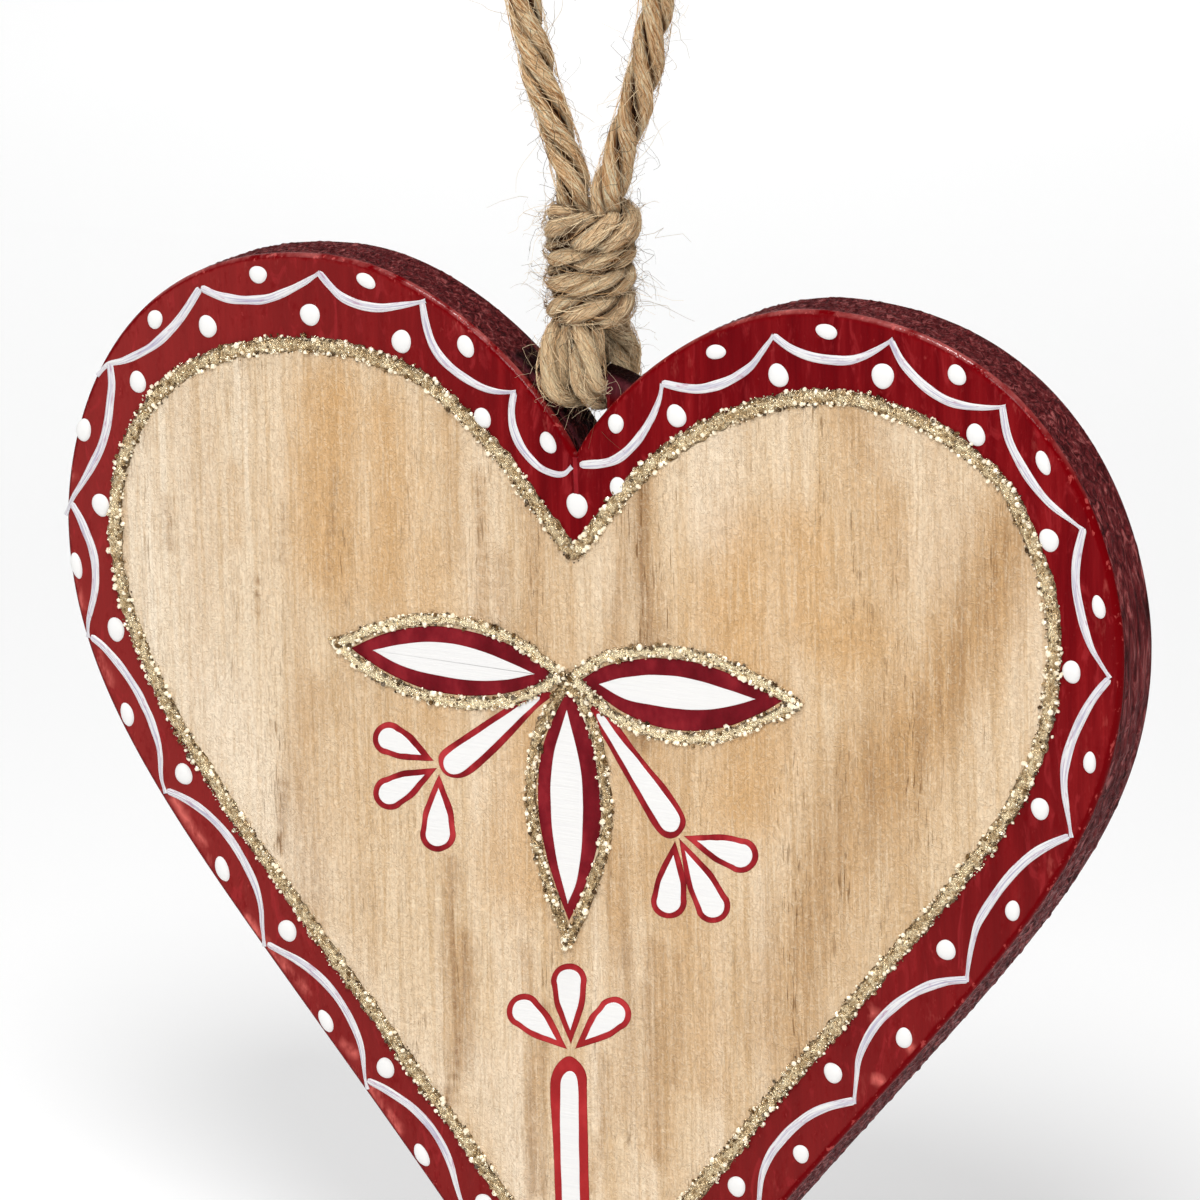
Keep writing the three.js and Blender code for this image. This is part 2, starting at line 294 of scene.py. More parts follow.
# Photograph pixels of the stems: the outline, from one narrow end round the broad end and back
STEMS_RED = [
    [(552, 695), (536, 709), (519, 728), (497, 751), (475, 771), (460, 778), (446, 775), (439, 764),
     (441, 752), (460, 738), (490, 718), (518, 700), (538, 690)],
    [(590, 712), (610, 749), (635, 794), (652, 824), (664, 837), (676, 837), (685, 827), (684, 815),
     (668, 789), (643, 759), (616, 722), (602, 704)],
    [(550, 1092), (552, 1074), (559, 1062), (569, 1056), (579, 1062), (586, 1074), (587, 1092),
     (588, 1140), (589, 1190), (590, 1236), (586, 1252), (574, 1260), (562, 1252), (557, 1236),
     (555, 1190), (553, 1140)],
]
STEMS_WHITE = [
    [(540, 699), (519, 719), (494, 744), (468, 768), (455, 774), (446, 770), (444, 760), (452, 751),
     (480, 732), (510, 712), (532, 698)],
    [(597, 717), (615, 748), (640, 791), (656, 818), (665, 830), (675, 831), (680, 823), (678, 813),
     (661, 789), (640, 762), (617, 734), (604, 716)],
    [(560.5, 1092), (562, 1078), (569, 1071), (576, 1075), (578.6, 1092), (579, 1140), (580, 1190),
     (581, 1236), (579, 1246), (573, 1250), (566, 1246), (564, 1236), (562, 1190), (560.5, 1140)],
]

# Photograph pixels of the petals: pointed end, middle of the round end and its half width
PETALS = [
    [(434, 761), (389, 738.5), 16.6], [(437, 768), (390, 793), 17], [(439, 774), (438, 834), 18],
    [(684, 836), (741, 855.5), 17.6], [(679, 838), (713, 906), 17.5], [(675, 841), (669, 901), 18],
    [(571, 1044), (569, 981), 18], [(567, 1049), (524, 1011), 17.5], [(575, 1049), (614, 1014), 17.5],
]
PETAL_EDGE = 5.8

# Crease of bright red down from the notch
CREASE = [(575, 457), (575.5, 470), (576, 483), (576.5, 496)]

# Figure of the wood: points in the photograph, half width in millimetres, how much darker and browner
WOOD_FIGURE = [
    [[(640, 450), (643, 540), (650, 640), (646, 740)], 1.4, 0.65, 0.4],
    [[(618, 560), (616, 620), (622, 680)], 0.9, 0.35, 0.3],
    [[(500, 560), (503, 640), (500, 700)], 1.2, 0.35, 0.25],
    [[(448, 420), (452, 500), (447, 560)], 1.1, 0.25, 0.4],
    [[(330, 400), (322, 480), (326, 560)], 3.5, 0.12, 0.8],
    [[(386, 420), (392, 500), (388, 580)], 3.2, 0.08, 0.6],
    [[(240, 470), (238, 540)], 0.8, 0.12, 0.35],
    [[(281, 784), (280, 848)], 0.6, 0.7, 0.3],
    [[(306, 690), (309, 800), (306, 920)], 1.6, 0.3, 0.4],
    [[(256, 580), (256, 610)], 0.4, 0.6, 0.2],
    [[(452, 864), (451, 930), (452, 1008)], 0.6, 0.9, 0.2],
    [[(526, 500), (530, 640)], 1.4, 0.35, 0.3],
    [[(480, 480), (482, 570), (478, 660)], 0.6, 0.5, 0.5],
    [[(165, 500), (165, 545)], 0.5, 0.4, 0.2],
    [[(280, 505), (280, 560)], 0.4, 0.6, 0.2],
    [[(329, 470), (331, 580)], 0.5, 0.5, 0.4],
    [[(620, 850), (622, 960)], 1.2, 0.4, 0.5],
    [[(650, 990), (652, 1120)], 1, 0.45, 0.4],
    [[(452, 860), (450, 940), (458, 1030), (456, 1100)], 0.55, 0.95, 0.4],
    [[(458, 940), (462, 985), (457, 1060)], 1.2, 0.55, 0.5],
    [[(541, 1010), (540, 1100), (543, 1190)], 0.9, 0.6, 0.5],
    [[(655, 950), (660, 1050), (655, 1150)], 1.3, 0.4, 0.5],
    [[(678, 960), (672, 1080)], 0.8, 0.45, 0.4],
    [[(600, 1060), (598, 1190)], 0.6, 0.4, 0.4],
    [[(430, 560), (425, 640), (430, 720)], 3.5, 0.06, 0.5],
    [[(520, 700), (530, 790), (520, 880)], 3.5, 0.12, 0.6],
    [[(640, 700), (650, 790), (640, 880)], 3, 0.15, 0.5],
    [[(740, 600), (745, 700), (740, 800)], 4.5, 0.1, 0.8],
    [[(528, 950), (532, 1040)], 0.8, 0.3, 0.3],
    [[(1003, 540), (975, 600), (950, 670), (920, 740), (880, 790)], 3.6, 0.46, 0.8],
    [[(905, 730), (862, 800), (830, 870), (800, 960), (782, 1030)], 4, 0.38, 0.5],
    [[(740, 540), (738, 620)], 3.4, 0.12, 0.85],
    [[(800, 540), (806, 620), (850, 640)], 3.6, 0.1, 0.75],
    [[(880, 500), (890, 560)], 2.6, 0.14, 0.4],
    [[(690, 880), (700, 980), (706, 1080)], 2.4, 0.2, 0.45],
    [[(620, 930), (628, 1020), (622, 1110)], 1, 0.3, 0.3],
    [[(860, 420), (872, 460)], 1.8, 0.25, 0.4],
]

# Paler patches of the wood: points in the photograph, half width in millimetres and how much paler
WOOD_PALE = [
    [[(150, 470), (160, 600), (190, 700)], 3, 0.25],
    [[(215, 700), (262, 800), (300, 880)], 4, 0.55],
    [[(330, 960), (380, 1040), (430, 1110)], 3, 0.6],
    [[(480, 1070), (520, 1180)], 3, 0.45],
    [[(722, 420), (716, 520)], 3, 0.45],
    [[(900, 440), (940, 500), (930, 560)], 3.5, 0.3],
    [[(600, 500), (606, 600)], 2, 0.25],
    [[(620, 960), (600, 1100)], 2.5, 0.2],
]


# Geometry helpers
def distances_along(points):
    """How far each point lies along the line through all of them."""
    lengths = np.linalg.norm(np.diff(points, axis=0), axis=1)
    return np.concatenate([[0], np.cumsum(lengths)])


def resample(points, step):
    """Points at even distances along the line through the given ones."""
    run = distances_along(points)
    places = np.linspace(0, run[-1], max(3, round(run[-1] / step) + 1))
    return np.column_stack([np.interp(places, run, points[:, k]) for k in range(points.shape[1])])


def smooth_curve(points, step, closed=False):
    """Even points on the Catmull-Rom curve through the given points."""
    given = np.array(points, float)
    if closed:
        given = np.vstack([given[-1:], given, given[:2]])
    else:
        given = np.vstack([2 * given[0] - given[1], given, 2 * given[-1] - given[-2]])
    t = np.linspace(0, 1, 12, endpoint=False)[:, None]
    dense = []
    for a, b, c, d in zip(given, given[1:], given[2:], given[3:]):
        dense.append(0.5 * (2 * b + (c - a) * t + (2 * a - 5 * b + 4 * c - d) * t ** 2
                            + (3 * b - a - 3 * c + d) * t ** 3))
    dense.append(given[-2:-1])
    even = resample(np.vstack(dense), step)
    return even[:-1] if closed else even


def outward_normals(outline, at=0, reach=0.02):
    """Unit normals of a closed outline that point out of it, judged at one of its points."""
    normals = side_normals(outline, closed=True)
    near = outline[at:at + 1] + normals[at:at + 1] * reach
    return -normals if inside(near, outline)[0] else normals


def side_normals(points, closed=False):
    """Unit normals to the right of each point's direction, for a line in a plane."""
    if closed:
        direction = np.roll(points, -1, axis=0) - np.roll(points, 1, axis=0)
    else:
        direction = np.gradient(points, axis=0)
    direction /= np.linalg.norm(direction, axis=1)[:, None] + 1e-12
    return np.column_stack([direction[:, 1], -direction[:, 0]])


def at_depth(line, y):
    """Points of a line given by x and z, with one y for all of them or one for each."""
    return np.column_stack([line[:, 0], np.broadcast_to(y, len(line)), line[:, 1]])


def waves(count, low, high, size):
    """A smooth random function of one variable, as a sum of sine waves."""
    rates = rng.uniform(low, high, count)
    phases = rng.uniform(0, 2 * math.pi, count)
    sizes = rng.uniform(0.4, 1, count) * size / math.sqrt(count)

    def value(s):
        s = np.asarray(s, float)
        return sum(a * np.sin(r * s + p) for r, p, a in zip(rates, phases, sizes))

    return value


# Photograph pixels on the painted face
def camera_axes():
    """Place, view direction, right and up of the photograph's camera, in millimetres."""
    azimuth, elevation, roll = np.radians([CAMERA_AZIMUTH, CAMERA_ELEVATION, CAMERA_ROLL])
    forward = -np.array([
        math.sin(azimuth) * math.cos(elevation),
        -math.cos(azimuth) * math.cos(elevation),
        math.sin(elevation),
    ])
    level = np.array([math.cos(azimuth), math.sin(azimuth), 0])
    above = np.cross(level, forward)
    right = level * math.cos(roll) + above * math.sin(roll)
    up = above * math.cos(roll) - level * math.sin(roll)
    return np.array(CAMERA_TARGET) - forward * CAMERA_DISTANCE, forward, right, up


def on_face(pixels):
    """x and z, in millimetres, where the camera sees these pixels on the painted face."""
    place, forward, right, up = camera_axes()
    pixels = np.array(pixels, float)
    across = (pixels[:, 0] - PHOTO_SIDE / 2) / CAMERA_FOCAL
    down = (pixels[:, 1] - PHOTO_SIDE / 2) / CAMERA_FOCAL
    rays = forward + across[:, None] * right - down[:, None] * up
    reach = (FACE_Y - place[1]) / rays[:, 1]
    hits = place + rays * reach[:, None]
    return hits[:, [0, 2]]


# Pieces
class Shape:
    """Gathers vertices and faces in millimetres, and makes one mesh object of them."""

    def __init__(self):
        self.points = []
        self.faces = []
        self.places = []
        self.shades = []
        self.kinds = []
        self.smooth = []
        self.count = 0

    def add(self, points, faces, places=None, kind=0, smooth=True, shade=None):
        """Adds vertices, faces that count from the first of them, and a place on the pattern for each."""
        points = np.asarray(points, float)
        if places is None:
            places = points[:, [0, 2]]
        self.points.append(points)
        self.places.append(np.asarray(places, float))
        self.shades.append(np.zeros(len(points)) if shade is None else shade)
        self.faces.extend([[int(i) + self.count for i in face] for face in faces])
        self.kinds.extend([kind] * len(faces))
        self.smooth.extend([smooth] * len(faces))
        self.count += len(points)

    def make(self, name, materials, slot):
        """Makes the mesh object of all that was added, riding on the root; its slot is not used."""
        points = np.vstack(self.points) * MM
        places = np.vstack(self.places)
        mesh = bpy.data.meshes.new(name)
        mesh.from_pydata(points.tolist(), [], self.faces)
        mesh.polygons.foreach_set("material_index", self.kinds)
        mesh.polygons.foreach_set("use_smooth", self.smooth)
        corners = np.zeros(len(mesh.loops), np.int32)
        mesh.loops.foreach_get("vertex_index", corners)
        layer = mesh.uv_layers.new(name="pattern")
        layer.data.foreach_set("uv", places[corners].ravel())
        shade = mesh.attributes.new("shade", "FLOAT", "POINT")
        shade.data.foreach_set("value", np.concatenate(self.shades).astype(np.float32))
        for material in materials:
            mesh.materials.append(material)
        piece = bpy.data.objects.new(name, mesh)
        bpy.context.scene.collection.objects.link(piece)
        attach(piece, "root")
        return piece


def grid_faces(rows, columns, closed=False):
    """Quads between rows of points that were added row after row."""
    faces = []
    for row in range(rows - 1):
        for column in range(columns if closed else columns - 1):
            after = (column + 1) % columns
            faces.append([
                row * columns + column, row * columns + after,
                (row + 1) * columns + after, (row + 1) * columns + column,
            ])
    return faces


# Materials
def srgb(red, green, blue):
    """A colour given in 0 to 255, as Blender's linear values."""
    linear = []
    for value in (red, green, blue):
        share = value / 255
        linear.append(share / 12.92 if share <= 0.04045 else ((share + 0.055) / 1.055) ** 2.4)
    return (*linear, 1)


class Finish:
    """A node material, with a short way to add and link its nodes."""

    def __init__(self, name, roughness, **sockets):
        self.material = bpy.data.materials.new(name)
        self.material.use_nodes = True
        self.tree = self.material.node_tree
        self.shader = self.tree.nodes["Principled BSDF"]
        self.shader.inputs["Roughness"].default_value = roughness
        for socket, value in sockets.items():
            self.shader.inputs[socket.replace("_", " ")].default_value = value

    def node(self, kind, inputs=None, **settings):
        """A new node, whose inputs are given as values or as outputs of other nodes."""
        made = self.tree.nodes.new("ShaderNode" + kind)
        for name, value in settings.items():
            setattr(made, name, value)
        for name, value in (inputs or {}).items():
            if isinstance(value, bpy.types.NodeSocket):
                self.tree.links.new(value, made.inputs[name])
            else:
                made.inputs[name].default_value = value
        return made

    def link(self, source, socket):
        self.tree.links.new(source, self.shader.inputs[socket])

    def stretched(self, scale, source="Object"):
        """Coordinates times a scale for each axis, per metre."""
        coordinates = self.node("TexCoord")
        return self.node("Mapping", {"Vector": coordinates.outputs[source], "Scale": scale}).outputs["Vector"]

    def place(self, axis):
        """Place along one axis, in metres."""
        return self.node("SeparateXYZ", {"Vector": self.stretched((1, 1, 1))}).outputs[axis]

    def noise(self, scale, detail=4, rough=0.55, source="Object", distortion=0):
        """Noise with so many cells per metre along each axis."""
        made = self.node("TexNoise", {
            "Vector": self.stretched(scale, source), "Scale": 1, "Detail": detail,
            "Roughness": rough, "Distortion": distortion,
        })
        return made.outputs["Fac"]

    def ramp(self, factor, stops):
        """Colour by the factor, through the given places and colours."""
        made = self.node("ValToRGB", {"Fac": factor})
        elements = made.color_ramp.elements
        while len(elements) < len(stops):
            elements.new(0.5)
        for element, (place, colour) in zip(elements, stops):
            element.position = place
            element.color = colour
        return made.outputs["Color"]

    def levels(self, factor, low, high, dark=0, bright=1):
        """The factor, with low to high stretched over dark to bright and clipped there."""
        made = self.node("MapRange", {
            "Value": factor, "From Min": low, "From Max": high, "To Min": dark, "To Max": bright,
        })
        return made.outputs["Result"]

    def mix(self, factor, first, second, blend="MIX"):
        made = self.node("Mix", {"Factor": factor}, data_type="RGBA", blend_type=blend)
        for place, value in ((6, first), (7, second)):
            if isinstance(value, bpy.types.NodeSocket):
                self.tree.links.new(value, made.inputs[place])
            else:
                made.inputs[place].default_value = value
        return made.outputs[2]

    def math(self, operation, first, second=0.0):
        made = self.node("Math", {0: first, 1: second}, operation=operation)
        return made.outputs["Value"]

    def attribute(self, name):
        return self.node("Attribute", attribute_name=name).outputs["Fac"]

    def bump(self, height, distance, strength=1.0, before=None):
        inputs = {"Height": height, "Distance": distance, "Strength": strength}
        if before is not None:
            inputs["Normal"] = before
        return self.node("Bump", inputs).outputs["Normal"]


def wood_finish():
    """Bare light wood: upright grain, golden and brown figure, few pores, fine curls in its thin coat."""
    f = Finish("bare_wood", 0.42, Specular_IOR_Level=0.14)
    broad = f.noise((150, 20, 7), 3, 0.5, distortion=0.4)
    streak = f.noise((1000, 60, 22), 4, 0.6)
    fibre = f.noise((3000, 200, 160), 3, 0.6, distortion=0.7)
    curl = f.noise((1500, 1500, 1250), 3, 0.6, distortion=2.6)
    across = f.place("X")
    base = f.ramp(broad, [
        (0.36, srgb(241, 221, 194)), (0.5, srgb(230, 205, 172)), (0.64, srgb(217, 186, 149)),
    ])
    base = f.mix(f.levels(across, -0.05, -0.015, 0, 0.16), base, srgb(214, 168, 110))
    base = f.mix(f.levels(across, -0.06, -0.035, 0.45, 0), base, srgb(248, 236, 216))
    base = f.mix(f.levels(streak, 0.49, 0.62, 0, 0.42), base, srgb(200, 162, 114))
    base = f.mix(f.attribute("warm"), base, srgb(216, 169, 112))
    base = f.mix(f.attribute("pale"), base, srgb(244, 226, 202))
    uneven = f.math("MULTIPLY", f.attribute("dark"), f.levels(streak, 0.38, 0.6, 0.45, 1.35))
    base = f.mix(uneven, base, srgb(144, 106, 70))
    base = f.mix(f.levels(fibre, 0.51, 0.64, 0, 0.3), base, srgb(180, 142, 94))
    base = f.mix(f.levels(fibre, 0.34, 0.47, 0.24, 0), base, srgb(248, 230, 200))
    base = f.mix(f.levels(curl, 0.53, 0.62, 0, 0.16), base, srgb(255, 242, 216))
    base = f.mix(f.levels(curl, 0.37, 0.46, 0.26, 0), base, srgb(180, 142, 98))
    pores = f.noise((3600, 300, 300), 2, 0.6)
    cluster = f.noise((260, 100, 40), 3, 0.6)
    clustered = f.math("ADD", f.levels(cluster, 0.52, 0.64), f.attribute("dark"))
    pores = f.math("MULTIPLY", f.levels(pores, 0.58, 0.66, 0, 0.6), clustered)
    base = f.mix(pores, base, srgb(128, 92, 52))
    f.link(base, "Base Color")
    height = f.math("ADD", f.math("MULTIPLY", fibre, 0.3), curl)
    f.link(f.bump(height, 0.00034, 0.95), "Normal")
    return f.material


def red_colour(f):
    """Colour and streaks of red paint brushed along the grain: cloudy, lighter below, and lighter on the left
    as painted light.
    """
    streak = f.noise((560, 60, 34), 4, 0.65)
    cloud = f.noise((95, 95, 60), 3, 0.55)
    wisp = f.noise((420, 420, 150), 4, 0.6, distortion=1.6)
    base = f.ramp(streak, [
        (0.36, srgb(96, 4, 10)), (0.5, srgb(112, 9, 15)), (0.66, srgb(130, 20, 24)),
    ])
    base = f.mix(f.levels(cloud, 0.42, 0.6, 0, 0.4), base, srgb(90, 3, 11))
    base = f.mix(f.levels(f.place("Z"), -0.15, -0.085, 0.65, 0), base, srgb(120, 35, 34))
    # Painted light: the red is lighter towards the left.
    base = f.mix(f.levels(f.place("X"), -0.06, -0.002, 0.75, 0), base, srgb(133, 42, 40))
    return f.mix(f.levels(wisp, 0.56, 0.68, 0, 0.35), base, srgb(164, 46, 50)), streak


def red_finish():
    """Glossy red paint with brush marks: paler flecks near the edge, painted shade where it rolls over the
    arris, and a painted highlight along the arris where it faces up.
    """
    f = Finish("red_paint", 0.22)
    base, streak = red_colour(f)
    rough = f.noise((420, 60, 160), 4, 0.7)
    worn = f.math("MULTIPLY", f.levels(rough, 0.6, 0.72, 0, 0.35), f.attribute("edge"))
    fleck = f.math("MULTIPLY", f.levels(rough, 0.36, 0.52), f.attribute("fleck"))
    base = f.mix(f.math("MAXIMUM", worn, fleck), base, srgb(204, 100, 92))
    torn = f.math("MULTIPLY", f.noise((900, 900, 500), 3, 0.7), 0.0002)
    rolled = f.levels(f.math("SUBTRACT", f.place("Y"), torn), -0.00409, -0.00402)
    upward = f.node("SeparateXYZ", {"Vector": f.node("NewGeometry").outputs["Normal"]}).outputs["Z"]
    broken = f.levels(f.noise((400, 400, 300), 3, 0.6), 0.36, 0.6)
    lit = f.math("MULTIPLY", f.math("MULTIPLY", f.levels(upward, 0.4, 0.75), broken), rolled)
    ticks = f.levels(f.noise((1500, 1500, 900), 3, 0.6), 0.6, 0.66, 0, 0.55)
    # Painted shade: the arris, where the paint rolls over it, is a deeper red, with paler ticks.
    base = f.mix(rolled, base, f.mix(ticks, srgb(104, 1, 6), srgb(196, 84, 80)))
    # Painted highlight along the upward-facing arris; the specular level follows the same mask.
    base = f.mix(f.math("MULTIPLY", lit, 0.4), base, srgb(200, 104, 98))
    f.link(base, "Base Color")
    f.link(f.levels(lit, 0, 1, 0.026, 0.6), "Specular IOR Level")
    f.link(f.levels(f.noise((300, 100, 90)), 0.35, 0.7, 0.14, 0.34), "Roughness")
    fine = f.noise((1500, 900, 160), 3, 0.6)
    height = f.math("ADD", f.math("MULTIPLY", streak, 0.6), f.math("MULTIPLY", fine, 0.4))
    f.link(f.bump(height, 0.00024, 0.8), "Normal")
    return f.material


def wall_finish():
    """Maroon stain on the sides, back and web, with wavy ridges along the grain, and red paint in front;
    painted shade in the notch and on the top of the web.
    """
    f = Finish("maroon_stain", 0.42)
    ridge = f.noise((1500, 1050, 150), 4, 0.62, distortion=1.3)
    broad = f.noise((500, 400, 60), 3, 0.6)
    base = f.ramp(ridge, [
        (0.36, srgb(46, 8, 10)), (0.46, srgb(86, 23, 26)), (0.55, srgb(114, 40, 42)),
        (0.65, srgb(168, 90, 88)),
    ])
    base = f.mix(f.levels(broad, 0.42, 0.6, 0.3, 0), base, srgb(96, 30, 33))
    red = red_colour(f)[0]
    uneven = f.noise((260, 40, 260), 3, 0.6)
    side, depth, up = (f.place(axis) for axis in "XYZ")
    line = f.math("SUBTRACT", depth, f.math("MULTIPLY", uneven, 0.0009))
    painted = f.levels(line, -0.00372, -0.00358, 1, 0)
    base = f.mix(painted, base, srgb(112, 1, 5))
    # Painted shade in the notch, darker towards its middle.
    notch_shade = f.math("MULTIPLY", f.attribute("notch_shade"), f.levels(ridge, 0.4, 0.6, 0.95, 0.6))
    base = f.mix(notch_shade, base, srgb(26, 10, 9))
    height = f.math("ADD", up, f.math("MULTIPLY", uneven, 0.001))
    between = f.levels(f.math("ABSOLUTE", side), 0.009, 0.0095, 1, 0)
    within = f.levels(f.math("ABSOLUTE", depth), 0.00235, 0.0024, 1, 0)
    web = f.math("MULTIPLY", between, within)
    front = f.math("MULTIPLY", web, f.levels(depth, -0.0021, -0.0012, 1, 0))
    # Painted shade: the top of the web, under the knot, is near black.
    base = f.mix(f.math("MULTIPLY", web, f.levels(height, -0.0645, -0.0622, 0, 0.9)), base, srgb(22, 6, 7))
    base = f.mix(f.math("MULTIPLY", front, 0.8), base, srgb(100, 44, 52))
    aside = f.levels(side, 0.0026, 0.0031)
    below = f.levels(height, -0.0643, -0.0632, 1, 0)
    base = f.mix(f.math("MULTIPLY", f.math("MULTIPLY", aside, below), web), base, red)
    f.link(base, "Base Color")
    f.link(f.levels(f.attribute("notch_shade"), 0, 0.5, 0.06, 0.02), "Specular IOR Level")
    f.link(f.levels(ridge, 0.4, 0.6, 0.6, 0.34), "Roughness")
    f.link(f.bump(ridge, 0.0011, 1.0), "Normal")
    return f.material


def red_film_finish(name, dark, middle, bright):
    """The red of the flowers: a thin glossy line of paint, deeper along its rims and brighter below."""
    f = Finish(name, 0.2, Specular_IOR_Level=0.07)
    soft = f.noise((300, 300, 200), 3, 0.6)
    fine = f.noise((1600, 1600, 1600), 2, 0.5)
    base = f.ramp(soft, [(0.34, dark), (0.5, middle), (0.66, bright)])
    base = f.mix(f.levels(f.place("Z"), -0.15, -0.12, 0.6, 0), base, srgb(172, 42, 42))
    base = f.mix(f.math("MULTIPLY", f.attribute("shade"), 0.6), base, srgb(88, 3, 11))
    f.link(base, "Base Color")
    f.link(f.bump(fine, 0.0001, 0.6), "Normal")
    return f.material


def white_finish(name, veil, depth, dim):
    """White paint; where it is thin, the red below shows through it in streaks along the brush."""
    f = Finish(name, 0.3, Specular_IOR_Level=0.1)
    bristle = f.noise((0.16, 3.2, 1), 3, 0.6, "UV")
    thin = f.noise((0.5, 1.4, 1), 3, 0.6, "UV")
    inner = f.levels(f.attribute("shade"), 0, 1, 0.35 * dim, dim)
    streaks = f.math("MULTIPLY", f.levels(bristle, 0.4, 0.56, 1, 0.05), inner)
    base = f.mix(streaks, srgb(227, 226, 224), srgb(158, 150, 178))
    base = f.mix(f.levels(thin, 0.56, 0.68, 0, veil), base, srgb(166, 100, 134))
    f.link(base, "Base Color")
    f.link(f.bump(bristle, depth, 0.7), "Normal")
    return f.material


def gold_finish(name, roughness, dark, middle, bright):
    """Champagne glitter: each grain is its own shade, from bronze to almost white."""
    f = Finish(name, roughness, Metallic=0.8)
    shade = f.node("NewGeometry").outputs["Random Per Island"]
    patch = f.noise((1500, 1500, 1500), 3, 0.7)
    mixed = f.math("ADD", f.math("MULTIPLY", shade, 0.4), f.math("MULTIPLY", patch, 0.6))
    base = f.ramp(mixed, [(0.34, dark), (0.48, middle), (0.62, bright)])
    # Painted shade from the shade attribute: along the edges of the binder, and on the grains marked low.
    base = f.mix(f.attribute("shade"), base, srgb(58, 36, 18))
    f.link(base, "Base Color")
    f.link(f.bump(patch, 0.0009, 1.0), "Normal")
    return f.material


def fibre_noise(f, lean, scale, distortion):
    """Noise drawn out along the plies of the cord, leaning across them by an angle."""
    even = f.stretched((1, 6.5, 1), "UV")
    turned = f.node("Mapping", {"Vector": even, "Rotation": (0, 0, lean)}).outputs["Vector"]
    drawn = f.node("Mapping", {"Vector": turned, "Scale": scale}).outputs["Vector"]
    made = f.node("TexNoise", {
        "Vector": drawn, "Scale": 1, "Detail": 3, "Roughness": 0.65, "Distortion": distortion,
    })
    return made.outputs["Fac"]


def jute_finish():
    """Jute: pale and brown fibres along each ply, painted shade in the hollows between plies and turns, and
    painted light on the knot and still more on the hitch below it.
    """
    f = Finish("jute", 0.8, Specular_IOR_Level=0.06)
    along = fibre_noise(f, 0.1, (0.35, 3.4, 1), 0.6)
    crossing = fibre_noise(f, -0.28, (0.5, 4.4, 1), 0.8)
    stray = fibre_noise(f, 0.45, (0.6, 5.5, 1), 0.6)
    base = f.ramp(along, [
        (0.36, srgb(178, 120, 72)), (0.45, srgb(236, 188, 136)), (0.53, srgb(255, 218, 168)),
        (0.62, srgb(255, 242, 208)),
    ])
    base = f.mix(f.levels(crossing, 0.52, 0.6, 0, 0.42), base, srgb(182, 128, 78))
    base = f.mix(f.levels(crossing, 0.37, 0.45, 0.4, 0), base, srgb(255, 240, 206))
    up = f.place("Z")
    # Painted light: lighter below the top of the knot, and lighter still on the hitch.
    base = f.mix(f.levels(up, -0.0585, -0.0555, 0.45, 0), base, srgb(255, 226, 178))
    base = f.mix(f.levels(up, -0.0435, -0.042, 0.35, 0), base, srgb(255, 232, 192))
    base = f.mix(f.levels(stray, 0.57, 0.62, 0, 0.65), base, srgb(116, 68, 32))
    base = f.mix(f.attribute("shade"), base, srgb(56, 29, 11))
    f.link(base, "Base Color")
    height = f.math("ADD", along, f.math("MULTIPLY", crossing, 0.8))
    f.link(f.bump(height, 0.0009, 1.0), "Normal")
    return f.material


def fuzz_finish(name, dark, middle, bright):
    """Single fibres of jute, each its own shade."""
    f = Finish(name, 0.6, Specular_IOR_Level=0.1)
    shade = f.node("NewGeometry").outputs["Random Per Island"]
    f.link(f.ramp(shade, [(0.08, dark), (0.4, middle), (0.75, bright)]), "Base Color")
    return f.material


def painted_glint_finish():
    """Painted glints: grains of the glitter coloured almost white for the light they catch."""
    f = Finish("glitter_painted_glint", 0.3, Metallic=0.3, Specular_IOR_Level=0.6)
    f.shader.inputs["Base Color"].default_value = srgb(252, 240, 214)
    return f.material


def floor_finish():
    """Even pale floor, with a faint glow that keeps it white far from the lights."""
    f = Finish("pale_floor", 0.9)
    soft = f.noise((3, 3, 3), 2)
    f.link(f.ramp(soft, [(0.3, (0.93, 0.93, 0.93, 1)), (0.7, (0.95, 0.95, 0.95, 1))]), "Base Color")
    f.shader.inputs["Emission Color"].default_value = (1, 1, 1, 1)
    f.shader.inputs["Emission Strength"].default_value = FLOOR_GLOW
    return f.material


# Camera
def make_camera():
    """The camera of the photograph."""
    place, forward, right, up = camera_axes()
    data = bpy.data.cameras.new("camera")
    data.sensor_width = SENSOR_WIDTH
    data.lens = SENSOR_WIDTH * CAMERA_FOCAL / PHOTO_SIDE
    data.clip_end = 10
    camera = bpy.data.objects.new("camera", data)
    bpy.context.scene.collection.objects.link(camera)
    pose = camera.matrix_world.copy()
    for row in range(3):
        pose[row][0] = right[row]
        pose[row][1] = up[row]
        pose[row][2] = -forward[row]
        pose[row][3] = place[row] * MM
    camera.matrix_world = pose
    bpy.context.scene.camera = camera


# Cord
def hitch_route(x_front, x_back, lift):
    """One strand from the knot down in front of the web, pinched under it and up behind it to the knot."""
    return [
        (KNOT_X + 0.42 * (x_front - KNOT_X), -2.5, -55.9), (0.84 * x_front, -3.55, -58.3),
        (x_front, -4, -60.8), (x_front, -4.05, -62.3 + lift), (0.96 * x_front, -3.7, -63.5 + lift),
        (0.86 * x_front, -2.75, -64.4 + lift), (0.72 * x_front, -1.4, STRAND_TURN_Z),
        (0.7 * x_front, 0, STRAND_TURN_Z), (0.72 * x_back, 1.4, STRAND_TURN_Z),
        (0.84 * x_back, 2.75, -64.6), (0.94 * x_back, 3.75, -63.8), (x_back, 4, -62.6),
        (x_back, 4, -61), (0.88 * x_back + 0.1, 3.5, -59), (KNOT_X + 0.62 * (x_back - KNOT_X), 2.5, -56.8),
    ]


